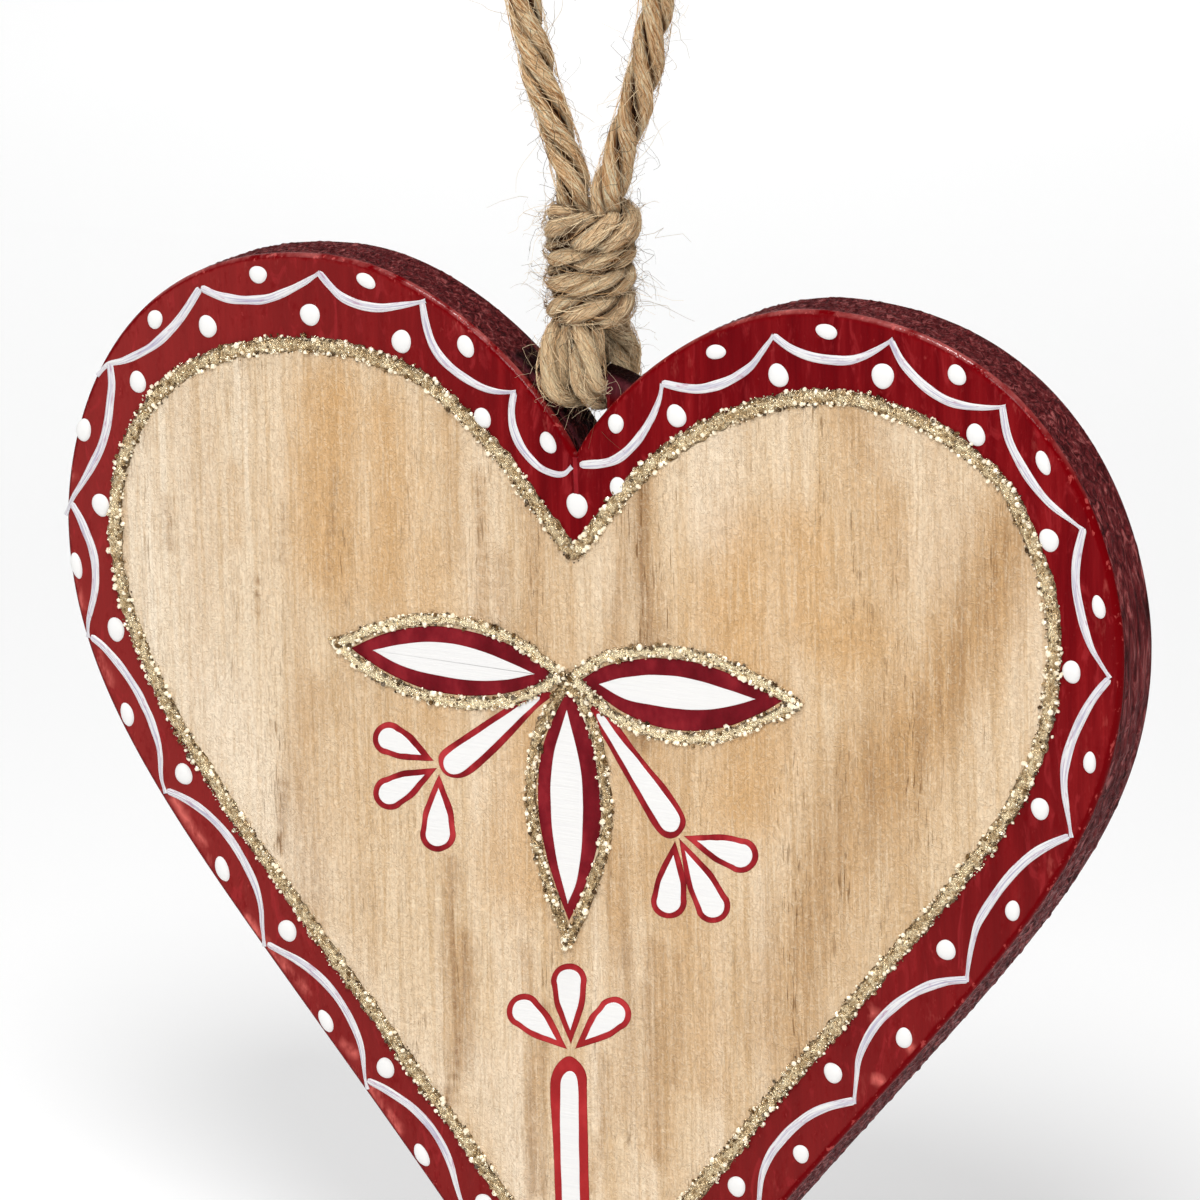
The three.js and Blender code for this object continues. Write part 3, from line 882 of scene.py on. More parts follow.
def wrap_route():
    """Three level turns round the strands that rise at the back, then a fatter one that ends under itself."""
    points = []
    for step in range(0, 24):
        turn = step / 8
        near = round(turn)
        away = turn - near
        height = WRAP_LEVELS[int(turn)]
        if 1 <= near <= 2 and abs(away) < 0.2:
            rise = (away + 0.2) / 0.4
            below, above = WRAP_LEVELS[near - 1:near + 1]
            height = below + (above - below) * rise * rise * (3 - 2 * rise)
        points.append((turn, WRAP_PATH_RADIUS, height))
    points += COLLAR_ROUTE
    route = []
    for turn, radius, height in points:
        angle = math.radians(90 + 360 * turn)
        route.append((WRAP_X + radius * math.cos(angle), radius * math.sin(angle), height))
    return route + [(0.5, -0.4, -46.4)]


def cord_route():
    """Middle line of the whole cord, in millimetres: tucked end, hitch, loop, hitch, wraps, tucked end."""
    left = hitch_route(-2.4, -2, 0)
    right = hitch_route(2.05, 2.1, 1.1)
    loop = [(x, 0, KNOT_TOP_Z + height) for x, height in LOOP_ROUTE]
    points = [(0.3, -0.4, -47.5), (-0.5, -1.3, -51), (-0.95, -1.9, -54)]
    points += left
    points += [(-1, 1.2, -53), (-1.1, 0.6, -48.5)]
    points += loop
    points += [(1.9, -0.3, -47), (1.5, -1.2, -51), (1.35, -1.9, -54)]
    points += right
    points += wrap_route()
    return smooth_curve(points, CORD_STEP)


def wrapped_share(path, heights, radius, blur):
    """How far each point is in the wraps between two heights, evened out over its neighbours."""
    x, y, z = path.T
    within = (np.hypot(x - WRAP_X, y) > radius) & (z > heights[0]) & (z < heights[1])
    return np.convolve(within, np.ones(blur) / blur, mode="same")


def squeeze(path):
    """How far the cord is pressed together along each axis, at each point of its middle line."""
    share = np.ones((len(path), 3))
    _, y, z = path.T
    under = np.clip((-62.6 - z) / 1.2, 0, 1) * np.clip((4 - abs(y)) / 1.2, 0, 1)
    share[:, 0] -= 0.26 * under
    share[:, 2] -= 0.3 * under
    pressed, lowest, fat = (
        wrapped_share(path, heights, 2.9, 9) for heights in (PRESSED_WRAPS, LOWEST_WRAP, FAT_WRAP)
    )
    share[:, 2] += 0.16 * fat + 0.12 * lowest - 0.07 * pressed
    share[:, :2] += 0.05 * (pressed + lowest)[:, None]
    return share


def turning_frames(path):
    """Two directions across the path at each point, which turn as little as they can."""
    tangents = np.gradient(path, axis=0)
    tangents /= np.linalg.norm(tangents, axis=1)[:, None]
    first = np.zeros_like(path)
    normal = np.cross(tangents[0], (0, 1, 0))
    for index, tangent in enumerate(tangents):
        normal = normal - tangent * (normal @ tangent)
        normal /= np.linalg.norm(normal)
        first[index] = normal
    return first, np.cross(tangents, first)


def lay_turns(path, run):
    """How far the plies have turned round the cord at each point; in the wraps they lie closer."""
    rate = -2 * math.pi / LAY_PITCH * (1 + 0.75 * wrapped_share(path, ALL_WRAPS, 2.7, 15))
    return np.concatenate([[0], np.cumsum(rate[1:] * np.diff(run))])


def gap_shade(row, shade, path, run, index):
    """Shade of one ring of a ply, darker where another turn of the cord lies close to it."""
    far = abs(run - run[index]) > FAR_ALONG_CORD
    gaps = np.linalg.norm(row[:, None, :] - path[far][None, :, :], axis=2).min(axis=1)
    plain = 0.45 if path[index][2] < HITCH_TOP_Z else 1.15
    return np.maximum(plain * shade, np.clip((2.5 - gaps) / 0.7, 0, 0.95))


def make_cord(material):
    """The whole cord: three twisted plies along its route, with painted shade where plies or turns lie on
    each other.
    """
    path = cord_route()
    first, second = turning_frames(path)
    share = squeeze(path)
    run = distances_along(path)
    turns = lay_turns(path, run)
    columns = PLY_SIDES + 1
    around = np.linspace(0, 2 * math.pi, columns)
    shape = Shape()
    ends = np.clip(np.minimum(run, run[-1] - run) / 1.2, 0.35, 1)
    for ply in range(PLY_COUNT):
        lay = turns + 2 * math.pi * ply / PLY_COUNT + waves(6, 0.15, 0.6, 0.25)(run)
        swell = 1 + waves(8, 0.2, 1.4, 0.07)(run)
        ridges = [waves(5, 0.1, 0.7, 1.0) for _ in range(4)]
        rows, shades = [], []
        for index, turn in enumerate(lay):
            out = first[index] * math.cos(turn) + second[index] * math.sin(turn)
            angles = turn + math.pi + around
            s = run[index]
            radius = PLY_RADIUS * swell[index] * (
                1
                + 0.04 * np.sin(5 * around + ridges[0](s))
                + 0.035 * np.sin(8 * around + ridges[1](s) * 2)
                + 0.025 * np.sin(3 * around + ridges[2](s) * 2)
            )
            edge = np.outer(np.cos(angles), first[index]) + np.outer(np.sin(angles), second[index])
            offset = out * PLY_OFFSET + edge * radius[:, None]
            rows.append(path[index] + offset * share[index] * ends[index])
            shades.append(np.clip((1.62 - np.linalg.norm(offset, axis=1)) / 0.5, 0, 1))
        shades = [gap_shade(*pair, path, run, index) for index, pair in enumerate(zip(rows, shades))]
        places = np.column_stack([
            np.repeat(run, columns),
            np.tile(around / (2 * math.pi) + 3.7 * ply, len(run)),
        ])
        shape.add(np.vstack(rows), grid_faces(len(run), columns), places, shade=np.concatenate(shades))
        shape.add(rows[0][:-1], [list(range(columns - 1))])
        shape.add(rows[-1][:-1], [list(range(columns - 1))[::-1]])
    cord = shape.make("cord", [material], "jute_cord")
    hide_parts("cord_loop", "cord_knot", "cord_hitch_left", "cord_hitch_right")
    return path, first, second, share


def add_fibre(shape, line, thickness, flat):
    """A single fibre: a thin three-sided line that gets thinner to its end."""
    rows = []
    side = np.cross(line[-1] - line[0], flat)
    side /= np.linalg.norm(side) + 1e-9
    for point, share in zip(line, np.linspace(0, 1, len(line))):
        size = thickness * (1 - 0.6 * share)
        rows.append([point + flat * size, point + side * size, point - (flat + side) * size * 0.7])
    shape.add(np.vstack(rows), grid_faces(len(line), 3, closed=True))


def fibre_weights(path):
    """How likely a fibre starts at each point: most at the knot, fewer below it and none inside it."""
    radial = np.hypot(path[:, 0] - WRAP_X, path[:, 1])
    inner = (path[:, 2] < KNOT_TOP_Z) & (path[:, 2] > ALL_WRAPS[0]) & (radial < 2.4)
    weights = np.where(path[:, 2] < KNOT_TOP_Z + 1.5, 1.3, 0.6)
    weights[inner] = 0
    weights[path[:, 2] < HITCH_TOP_Z] *= 0.5
    return weights / weights.sum()


def make_lying(path, first, second, share, material):
    """Fibres that lie along the plies; none in the gaps between neighbouring turns."""
    shape = Shape()
    run = distances_along(path)
    for index in rng.choice(len(path), LYING_COUNT, p=fibre_weights(path)):
        length = rng.uniform(2, 6)
        places = np.clip(run[index] + np.linspace(0, length, LYING_POINTS), 0, run[-1])
        rate = -2 * math.pi / LAY_PITCH * rng.uniform(-0.4, 2.6)
        turns = rng.uniform(0, 2 * math.pi) + rate * (places - places[0]) + waves(3, 0.3, 1.5, 0.25)(places)
        radius = LYING_RADIUS + rng.uniform(0, 0.14)
        radius = radius + 0.1 * np.sin(np.linspace(0, rng.uniform(1, 5), LYING_POINTS))
        at = np.searchsorted(run, places).clip(0, len(run) - 1)
        out = first[at] * np.cos(turns)[:, None] + second[at] * np.sin(turns)[:, None]
        line = path[at] + out * radius[:, None] * share[at]
        far = abs(run - run[index]) > FAR_ALONG_CORD
        if np.linalg.norm(path[far] - line[LYING_POINTS // 2], axis=1).min() < 2.35:
            continue
        add_fibre(shape, line, FUZZ_RADIUS * rng.uniform(0.6, 1.5), first[index])
    return shape.make("cord_fibres", [material], "jute_cord")


def make_fuzz(path, first, second, share, material):
    """Loose fibres that curl off the cord; none reaches past FUZZ_TOP_Z and FUZZ_REACH_Y."""
    shape = Shape()
    tangents = np.cross(first, second)
    for index in rng.choice(len(path), FUZZ_COUNT, p=fibre_weights(path)):
        turn = rng.uniform(0, 2 * math.pi)
        out = first[index] * math.cos(turn) + second[index] * math.sin(turn)
        along = tangents[index] * rng.choice([-1, 1])
        aside = np.cross(out, along)
        length = rng.uniform(1, 3) if rng.random() < 0.75 else rng.uniform(3, 7)
        steps = np.linspace(0, 1, 9)[:, None]
        lift = rng.uniform(0.05, 0.8) ** 1.3
        sway = rng.normal(0, 0.5)
        bend = rng.uniform(3, 9)
        phase = rng.uniform(0, 6)
        curl = rng.uniform(0.08, 0.2) * length
        line = path[index] + out * 1.8 * share[index] + length * (
            along * (1 - 0.35 * abs(sway)) * steps + aside * sway * steps + out * lift * steps ** 1.2
        )
        line += curl * (out * np.sin(bend * steps + phase) + aside * np.cos(bend * steps * 1.3 + phase))
        line -= curl * (out * math.sin(phase) + aside * math.cos(phase))
        line[:, 2] = np.minimum(line[:, 2] - 0.02 * length ** 2 * steps[:, 0] ** 2, FUZZ_TOP_Z)
        line[:, 1] = np.clip(line[:, 1], -FUZZ_REACH_Y, FUZZ_REACH_Y)
        add_fibre(shape, line, FUZZ_RADIUS * rng.uniform(0.7, 1.35), out)
    return shape.make("cord_fuzz", [material], "jute_cord")


# Board
def bezier(start, handle, other, end, steps=60):
    """Points on the cubic curve between two ends with two handles."""
    t = np.linspace(0, 1, steps)[:, None]
    start, handle, other, end = (np.array(p, float) for p in (start, handle, other, end))
    return start * (1 - t) ** 3 + 3 * handle * t * (1 - t) ** 2 + 3 * other * t * t * (1 - t) + end * t ** 3


def heart_outline():
    """Outline of the board by x and z, from the notch over the right lobe to the tip and back up the left."""
    half = HEART_WIDTH / 2
    handle = np.array(TIP_HANDLE) * (half, HEART_HEIGHT)
    slope = math.atan2(handle[1], handle[0])
    sharp = np.array([0, TIP_Z + TIP_RADIUS - TIP_RADIUS / math.cos(slope)])
    notch = (0, NOTCH_Z)
    notch_handle = (NOTCH_HANDLE[0] * half, NOTCH_Z + NOTCH_HANDLE[1] * HEART_HEIGHT)
    lobe = (LOBE_X * half, LOBE_TOP_Z)
    inner, outer = ((lobe[0] + share * half, LOBE_TOP_Z) for share in (-LOBE_HANDLES[0], LOBE_HANDLES[1]))
    widest = (half, LOBE_TOP_Z - WIDEST_DROP * HEART_HEIGHT)
    above, below = ((half, widest[1] + s * HEART_HEIGHT) for s in (WIDEST_HANDLES[0], -WIDEST_HANDLES[1]))
    arc_start = (TIP_RADIUS * math.sin(slope), TIP_Z + TIP_RADIUS * (1 - math.cos(slope)))
    curves = [
        bezier(notch, notch_handle, inner, lobe),
        bezier(lobe, outer, above, widest),
        bezier(widest, below, sharp + handle, arc_start),
    ]
    turn = np.linspace(slope, 0, 8)
    arc = np.column_stack([TIP_RADIUS * np.sin(turn), TIP_Z + TIP_RADIUS * (1 - np.cos(turn))])
    right = resample(np.vstack(curves + [arc]), OUTLINE_STEP)
    left = right[1:-1][::-1] * (-1, 1)
    return np.vstack([right, left])


def inset_line(outline, normals, distance):
    """The outline moved into the board; the notch keeps its sharp corner and the tip its round."""
    moved = outline - normals * distance
    opening = math.atan2(NOTCH_HANDLE[0] * HEART_WIDTH / 2, NOTCH_HANDLE[1] * HEART_HEIGHT)
    moved[0] = (0, NOTCH_Z - distance / math.sin(opening))
    low_x = moved[:, 0] * np.sign(outline[:, 0]) < 0
    moved[low_x, 0] = 0
    return moved


def ring_profile():
    """Inset, y and whether it is sawn (1 or 0) of each ring of the edge, from the face to the back."""
    half = BOARD_THICKNESS / 2
    rings = []
    for step in range(ARRIS_ROWS):
        angle = math.pi / 2 * step / ARRIS_ROWS
        rings.append((ARRIS_RADIUS * (1 - math.sin(angle)), -half + ARRIS_RADIUS * (1 - math.cos(angle)), 0))
    for row in range(WALL_ROWS + 1):
        y = -half + ARRIS_RADIUS + (BOARD_THICKNESS - 2 * ARRIS_RADIUS) * row / WALL_ROWS
        rings.append((0, y, 1))
    front = [ring for ring in rings if ring[2] == 0]
    rings.extend([(inset, -y, 0) for inset, y, _ in reversed(front)])
    return rings


def inside(points, polygon):
    """Which points lie in the polygon."""
    x, z = points.T
    result = np.zeros(len(points), bool)
    after = np.roll(polygon, -1, axis=0)
    for (ax, az), (bx, bz) in zip(polygon, after):
        crosses = (az > z) != (bz > z)
        with np.errstate(divide="ignore", invalid="ignore"):
            result ^= crosses & (x < (bx - ax) * (z - az) / (bz - az) + ax)
    return result


def distance_to(points, line):
    """Distance of each point to the nearest of the line's points."""
    nearest = np.full(len(points), 1e9)
    for start in range(0, len(points), 2000):
        part = points[start:start + 2000]
        gaps = np.linalg.norm(part[:, None, :] - line[None, :, :], axis=2)
        nearest[start:start + 2000] = gaps.min(axis=1)
    return nearest


def face_mesh(border, contour):
    """Triangles of the painted face, split along the middle of the glitter line."""
    low, high = border.min(axis=0), border.max(axis=0)
    xs = np.arange(low[0], high[0], GRID_STEP)
    zs = np.arange(low[1], high[1], GRID_STEP)
    grid = np.array([(x, z) for z in zs for x in xs]) + rng.uniform(-0.2, 0.2, (len(xs) * len(zs), 2))
    grid = grid[inside(grid, border)]
    grid = grid[distance_to(grid, border) > 0.5 * GRID_STEP]
    grid = grid[distance_to(grid, contour) > 0.4 * GRID_STEP]
    points = np.vstack([border, contour, grid])
    first, last = len(border), len(border) + len(contour)
    rings = [list(range(first)), list(range(first, last))]
    made = geometry.delaunay_2d_cdt([Vector(p) for p in points], [], rings, 1, 1e-7)
    flat = np.array([tuple(v) for v in made[0]])
    faces = [list(face) for face in made[2]]
    centres = np.array([flat[face].mean(axis=0) for face in faces])
    return flat, faces, inside(centres, contour)


def nearness(points, pixels, half_width, step):
    """How near each point lies to a line given in the photograph, from 1 on it to 0 far from it."""
    away = distance_to(points, smooth_curve(on_face(pixels), step)) / half_width
    return np.exp(-away ** 2 / 2)


def wood_attributes(mesh, border):
    """Figure and pale patches of the wood, flecks, edge and painted shade in the notch, as numbers on the
    vertices.
    """
    points = np.zeros(len(mesh.vertices) * 3)
    mesh.vertices.foreach_get("co", points)
    points = points.reshape(-1, 3) / MM
    flat = points[:, [0, 2]]
    dark, warm, pale, fleck = np.zeros((4, len(flat)))
    for pixels, half_width, darker, browner in WOOD_FIGURE:
        wander = waves(4, 0.05, 0.3, 0.8)(flat[:, 1])
        share = nearness(flat + np.outer(wander, (1, 0)), pixels, half_width, 1.5)
        dark = np.maximum(dark, share * darker)
        warm = np.maximum(warm, share * browner)
    for pixels, half_width, paler in WOOD_PALE:
        pale = np.maximum(pale, paler * nearness(flat, pixels, half_width, 1.5))
    for pixels in FLECKS:
        fleck = np.maximum(fleck, nearness(flat, pixels, FLECK_HALF_WIDTH, 0.4))
    edge = np.exp(-distance_to(flat, border) / 1.6)
    # Painted shade in the notch: strongest near its middle, behind the front face.
    notch_shade = np.clip(1.25 - np.hypot(flat[:, 0], flat[:, 1] - NOTCH_Z - 3) / 12, 0, 1)
    notch_shade *= (points[:, 1] > FACE_Y + 0.5) & (abs(flat[:, 0]) < 11)
    numbers = {"dark": dark, "warm": warm, "pale": pale, "edge": edge, "notch_shade": notch_shade, "fleck": fleck}
    for name, values in numbers.items():
        layer = mesh.attributes.new(name, "FLOAT", "POINT")
        layer.data.foreach_set("value", values.astype(np.float32))


def wall_relief(outline, y):
    """Height of the sawn side's ridges, which run along the upright grain."""
    x, z = outline.T
    return WALL_RELIEF * (
        np.sin(3.1 * x + 1.7 * y + 0.35 * z) * np.sin(2.3 * y - 1.9 * x + 0.2 * z + 1)
        + 0.6 * np.sin(5.3 * x - 4.1 * y + 0.5 * z + 2) * np.sin(4.7 * y + 0.3 * z)
    )


def web_outline():
    """The web from in front: arched top, feet inside the lobes and the slot between them."""
    corner_x = SLOT_HALF_WIDTH - SLOT_CORNER
    corner_z = SLOT_CROWN_Z - SLOT_CORNER
    turn = np.linspace(math.pi, math.pi / 2, 8)
    corner = (-corner_x, corner_z)
    left_arc = corner + SLOT_CORNER * np.column_stack([np.cos(turn), np.sin(turn)])
    right_arc = left_arc[::-1] * (-1, 1)
    t = np.linspace(0, 1, 24)[:, None]
    peak = np.array([0, 2 * WEB_CROWN_Z - WEB_SHOULDER_Z])
    start = np.array([WEB_HALF_SPAN, WEB_SHOULDER_Z])
    arch = start * (1 - t) ** 2 + 2 * peak * t * (1 - t) + start * (-1, 1) * t ** 2
    return np.vstack([
        [(-WEB_HALF_SPAN, WEB_FOOT_Z), (-SLOT_HALF_WIDTH, WEB_FOOT_Z)], left_arc, right_arc,
        [(SLOT_HALF_WIDTH, WEB_FOOT_Z), (WEB_HALF_SPAN, WEB_FOOT_Z)], arch,
    ])


def add_web(shape, kind):
    """The web between the lobes, with its edges rounded in front and behind."""
    outline = web_outline()
    normals = outward_normals(outline, reach=0.01)
    rows = []
    for step in range(5):
        angle = math.pi / 2 * step / 4
        inset = WEB_ROUND * (1 - math.sin(angle))
        y = -WEB_HALF_DEPTH + WEB_ROUND * (1 - math.cos(angle))
        line = outline - normals * inset * 0.8
        rows.append(at_depth(line, y))
    rows += [row * (1, -1, 1) for row in reversed(rows)]
    columns = len(outline)
    faces = grid_faces(len(rows), columns, closed=True)
    shape.add(np.vstack(rows), faces, kind=kind)
    shape.add(rows[0], [list(range(columns))[::-1]], kind=kind, smooth=False)
    shape.add(rows[-1], [list(range(columns))], kind=kind, smooth=False)


def make_board(wood, red, wall):
    """The board: a ring of edge and sawn side, the split painted face, the plain back and the web."""
    outline = heart_outline()
    normals = -side_normals(outline, closed=True)
    normals[0] = (0, 1)
    shape = Shape()
    rows = []
    kinds = []
    for inset, y, sawn in ring_profile():
        line = inset_line(outline, normals, inset)
        if sawn:
            fade = min(1, (y + BOARD_THICKNESS / 2 - ARRIS_RADIUS) / 1.2)
            line = line + normals * (wall_relief(outline, y) * max(0, fade))[:, None]
            line[0] = outline[0]
        rows.append(at_depth(line, y))
        kinds.append(1 if y < 0 and not sawn else 2)
    columns = len(outline)
    for index in range(len(rows) - 1):
        pair = np.vstack(rows[index:index + 2])
        shape.add(pair, grid_faces(2, columns, closed=True), kind=kinds[index])
    contour = smooth_curve(on_face(GOLD_CONTOUR), 0.8, closed=True)
    border = rows[0][:, [0, 2]]
    flat, faces, centre = face_mesh(border, contour)
    front = at_depth(flat, FACE_Y)
    if np.cross(np.subtract(*flat[faces[0]][[1, 0]]), np.subtract(*flat[faces[0]][[2, 0]])) < 0:
        faces = [face[::-1] for face in faces]
    shape.add(front, [f for f, c in zip(faces, centre) if c], kind=0, smooth=False)
    shape.add(front, [f for f, c in zip(faces, centre) if not c], kind=1, smooth=False)
    shape.add(rows[-1], [list(range(columns))[::-1]], kind=2, smooth=False)
    add_web(shape, 2)
    board = shape.make("heart_board", [wood, red, wall], "painted_wood")
    merge(board)
    wood_attributes(board.data, border)
    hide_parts("heart")


def merge(piece):
    """Joins vertices that lie on each other, and turns all faces outwards."""
    work = bmesh.new()
    work.from_mesh(piece.data)
    bmesh.ops.remove_doubles(work, verts=work.verts, dist=0.01 * MM)
    bmesh.ops.recalc_face_normals(work, faces=work.faces)
    work.to_mesh(piece.data)
    work.free()


# Paint
def add_stroke(shape, pixels):
    """A brush stroke with a domed section, broad at its start and thin at its end."""
    given = on_face(pixels)
    first = given[0] + STROKE_REACH * (given[0] - given[1]) / np.linalg.norm(given[0] - given[1])
    last = given[-1] + 1.6 * STROKE_REACH * (given[-1] - given[-2]) / np.linalg.norm(given[-1] - given[-2])
    path = smooth_curve(np.vstack([first, given, last]), STROKE_STEP)
    normals = side_normals(path)
    share = np.linspace(0, 1, len(path))
    half = np.interp(share, np.linspace(0, 1, len(STROKE_HALF_WIDTHS)), STROKE_HALF_WIDTHS)
    half = half * (1 + waves(5, 6, 30, 0.09)(share)) + 0.14 * np.exp(-((1 - share) / 0.025) ** 2)
    run = share * len(path) * STROKE_STEP
    half = half * np.sqrt(np.clip(run / 0.3, 0.4, 1))
    drift = waves(4, 4, 14, 0.06)(share)
    across = np.linspace(-1, 1, STROKE_COLUMNS)
    crown = (1 - across ** 4) * (1 + 0.12 * np.sin(across * 9 + 1))
    rows, places = [], []
    for point, normal, width, shift, s in zip(path, normals, half, drift, run):
        line = point + np.outer(across * width + shift, normal)
        height = PAINT_GAP + STROKE_CROWN * crown * min(1, width / 0.4)
        rows.append(at_depth(line, FACE_Y - height))
        places.append(np.column_stack([np.full(STROKE_COLUMNS, s + 7 * given[0, 0]), across]))
    shades = np.tile(1 - abs(across) ** 1.5, len(rows))
    shape.add(np.vstack(rows), grid_faces(len(rows), STROKE_COLUMNS), np.vstack(places), shade=shades)


def add_dot(shape, x, z, half_width, half_height, lean, crown):
    """A drop of paint: a low dome with a slightly uneven rim."""
    turn = np.linspace(0, 2 * math.pi, DOT_SIDES, endpoint=False)
    uneven = 1 + 0.035 * np.sin(2 * turn + rng.uniform(0, 6)) + 0.025 * np.sin(3 * turn + rng.uniform(0, 6))
    tilt = math.radians(lean)
    rows = []
    for share in (1, 0.93, 0.82, 0.62, 0.36, 0.12):
        along = half_width * share * uneven * np.cos(turn)
        up = half_height * share * uneven * np.sin(turn)
        px = x + along * math.cos(tilt) + up * math.sin(-tilt)
        pz = z + along * math.sin(tilt) + up * math.cos(tilt)
        height = PAINT_GAP + crown * (1 - share ** 3) ** 0.7
        rows.append(at_depth(np.column_stack([px, pz]), FACE_Y - height))
    shape.add(np.vstack(rows), grid_faces(len(rows), DOT_SIDES, closed=True))
    shape.add(rows[-1], [list(range(DOT_SIDES))])


def make_dots(material):
    """All white dots, placed by pixel; the half sizes are turned into millimetres on the face."""
    shape = Shape()
    for px, py, half_width, half_height, lean in INNER_DOTS + OUTER_DOTS:
        centre, right, above = on_face([(px, py), (px + 10, py), (px, py - 10)])
        across = np.linalg.norm(right - centre) / 10
        up = np.linalg.norm(above - centre) / 10
        add_dot(shape, centre[0], centre[1], half_width * across, half_height * up, -lean, DOT_CROWN)
    return shape.make("white_dots", [material], "white_paint")


def add_film(shape, outline, base, top, rim, kind=0):
    """A flat film of paint in a closed outline, with rounded rims."""
    normals = outward_normals(outline)
    rows = []
    for inset, height in ((0, base + PAINT_GAP), (0.25 * rim, base + 0.7 * (top - base)), (rim, top)):
        line = outline - normals * inset
        rows.append(at_depth(line, FACE_Y - height))
    columns = len(outline)
    shades = np.repeat([1, 0.7, 0], columns)
    shape.add(np.vstack(rows), grid_faces(3, columns, closed=True), kind=kind, shade=shades)
    shape.add(rows[-1], [list(range(columns))], kind=kind, smooth=False)


def petal_pixels(tip, middle, half_width, less):
    """A drop shape: a point at its tip, round at its far end, smaller all round by less pixels."""
    tip, middle = np.array(tip, float), np.array(middle, float)
    axis = middle - tip
    length = np.linalg.norm(axis)
    axis /= length
    side = np.array([-axis[1], axis[0]])
    radius = half_width - less
    start = tip + axis * less * 2.4
    turn = np.radians(np.arange(-110, 111, 20))
    arc = [middle + axis * radius * math.cos(a) * 0.98 + side * radius * math.sin(a) for a in turn]
    reach = length - less * 2.4
    near = [start + axis * reach * s + side * radius * w for s, w in ((0.62, 0.82), (0.36, 0.5), (0.14, 0.2))]
    far = [start + axis * reach * s - side * radius * w for s, w in ((0.14, 0.2), (0.36, 0.5), (0.62, 0.82))]
    return [start] + far + arc + near


def sharp_curve(pixels, tips):
    """A closed smooth line on the face that keeps its sharp tips."""
    points = on_face(pixels)
    order = [i for i in range(len(points)) if i in tips]
    parts = []
    for index, begin in enumerate(order):
        end = order[(index + 1) % len(order)]
        span = (end - begin) % len(points) or len(points)
        ring = [points[(begin + k) % len(points)] for k in range(span + 1)]
        parts.append(smooth_curve(ring, FLOWER_STEP)[:-1])
    return np.vstack(parts)


def uneven_line(outline):
    """The outline with the small unsteadiness of a hand."""
    normals = side_normals(outline, closed=True)
    turn = np.linspace(0, 2 * math.pi, len(outline), endpoint=False)
    wobble = sum(rng.uniform(-1, 1) * np.sin(k * turn + rng.uniform(0, 6)) for k in range(2, 12)) / 3
    return outline + normals * (wobble * HAND_WOBBLE)[:, None]


def make_flowers(leaf_red, line_red, white):
    """The leaves, stems and petals in the middle: red films with white ones on them."""
    under, over = Shape(), Shape()
    for pixels in RED_LEAVES:
        add_film(under, uneven_line(sharp_curve(pixels, (0, LEAF_TIP))), 0, RED_FILM, 0.12)
    for pixels in WHITE_EYES:
        add_film(over, uneven_line(sharp_curve(pixels, (0, EYE_TIP))), RED_FILM, WHITE_FILM, 0.1)
    for pixels in STEMS_RED:
        outer = smooth_curve(on_face(pixels), FLOWER_STEP, closed=True)
        add_film(under, uneven_line(outer), 0, RED_FILM, 0.1, 1)
    for pixels in STEMS_WHITE:
        inner = smooth_curve(on_face(pixels), FLOWER_STEP, closed=True)
        add_film(over, uneven_line(inner), RED_FILM, WHITE_FILM, 0.1)
    for tip, middle, half_width in PETALS:
        outer = sharp_curve(petal_pixels(tip, middle, half_width, 0), (0,))
        inner = sharp_curve(petal_pixels(tip, middle, half_width, PETAL_EDGE), (0,))
        add_film(under, uneven_line(outer), 0, RED_FILM, 0.1, 1)
        add_film(over, uneven_line(inner), RED_FILM, WHITE_FILM, 0.08)
    crease = smooth_curve(on_face(CREASE), 0.4)
    aside = side_normals(crease) * CREASE_HALF_WIDTH
    add_film(under, np.vstack([crease + aside, (crease - aside)[::-1]]), 0, RED_FILM, 0.1, 1)
    under.make("red_films", [leaf_red, line_red], "red_paint")
    over.make("white_films", [white], "white_paint")


# Glitter
def gold_lines():
    """Middle lines of the glitter, with half width: the contour and the outlines of the leaves."""
    lines = [(smooth_curve(on_face(GOLD_CONTOUR), GOLD_STEP, closed=True), GOLD_HALF_WIDTH)]
    for leaf, ends in zip(RED_LEAVES, GOLD_LEAF_ENDS):
        outline = on_face(leaf)
        wide = outline + outward_normals(outline, at=3, reach=0.05) * LEAF_GOLD_OFFSET
        far = on_face(ends)
        ring = [far[0], *wide[1:LEAF_TIP], far[1], *wide[LEAF_TIP + 1:], far[0]]
        above = smooth_curve(ring[:LEAF_TIP + 1], GOLD_STEP)[:-1]
        below = smooth_curve(ring[LEAF_TIP:], GOLD_STEP)[:-1]
        lines.append((np.vstack([above, below]), LEAF_GOLD_HALF_WIDTH))
    return lines


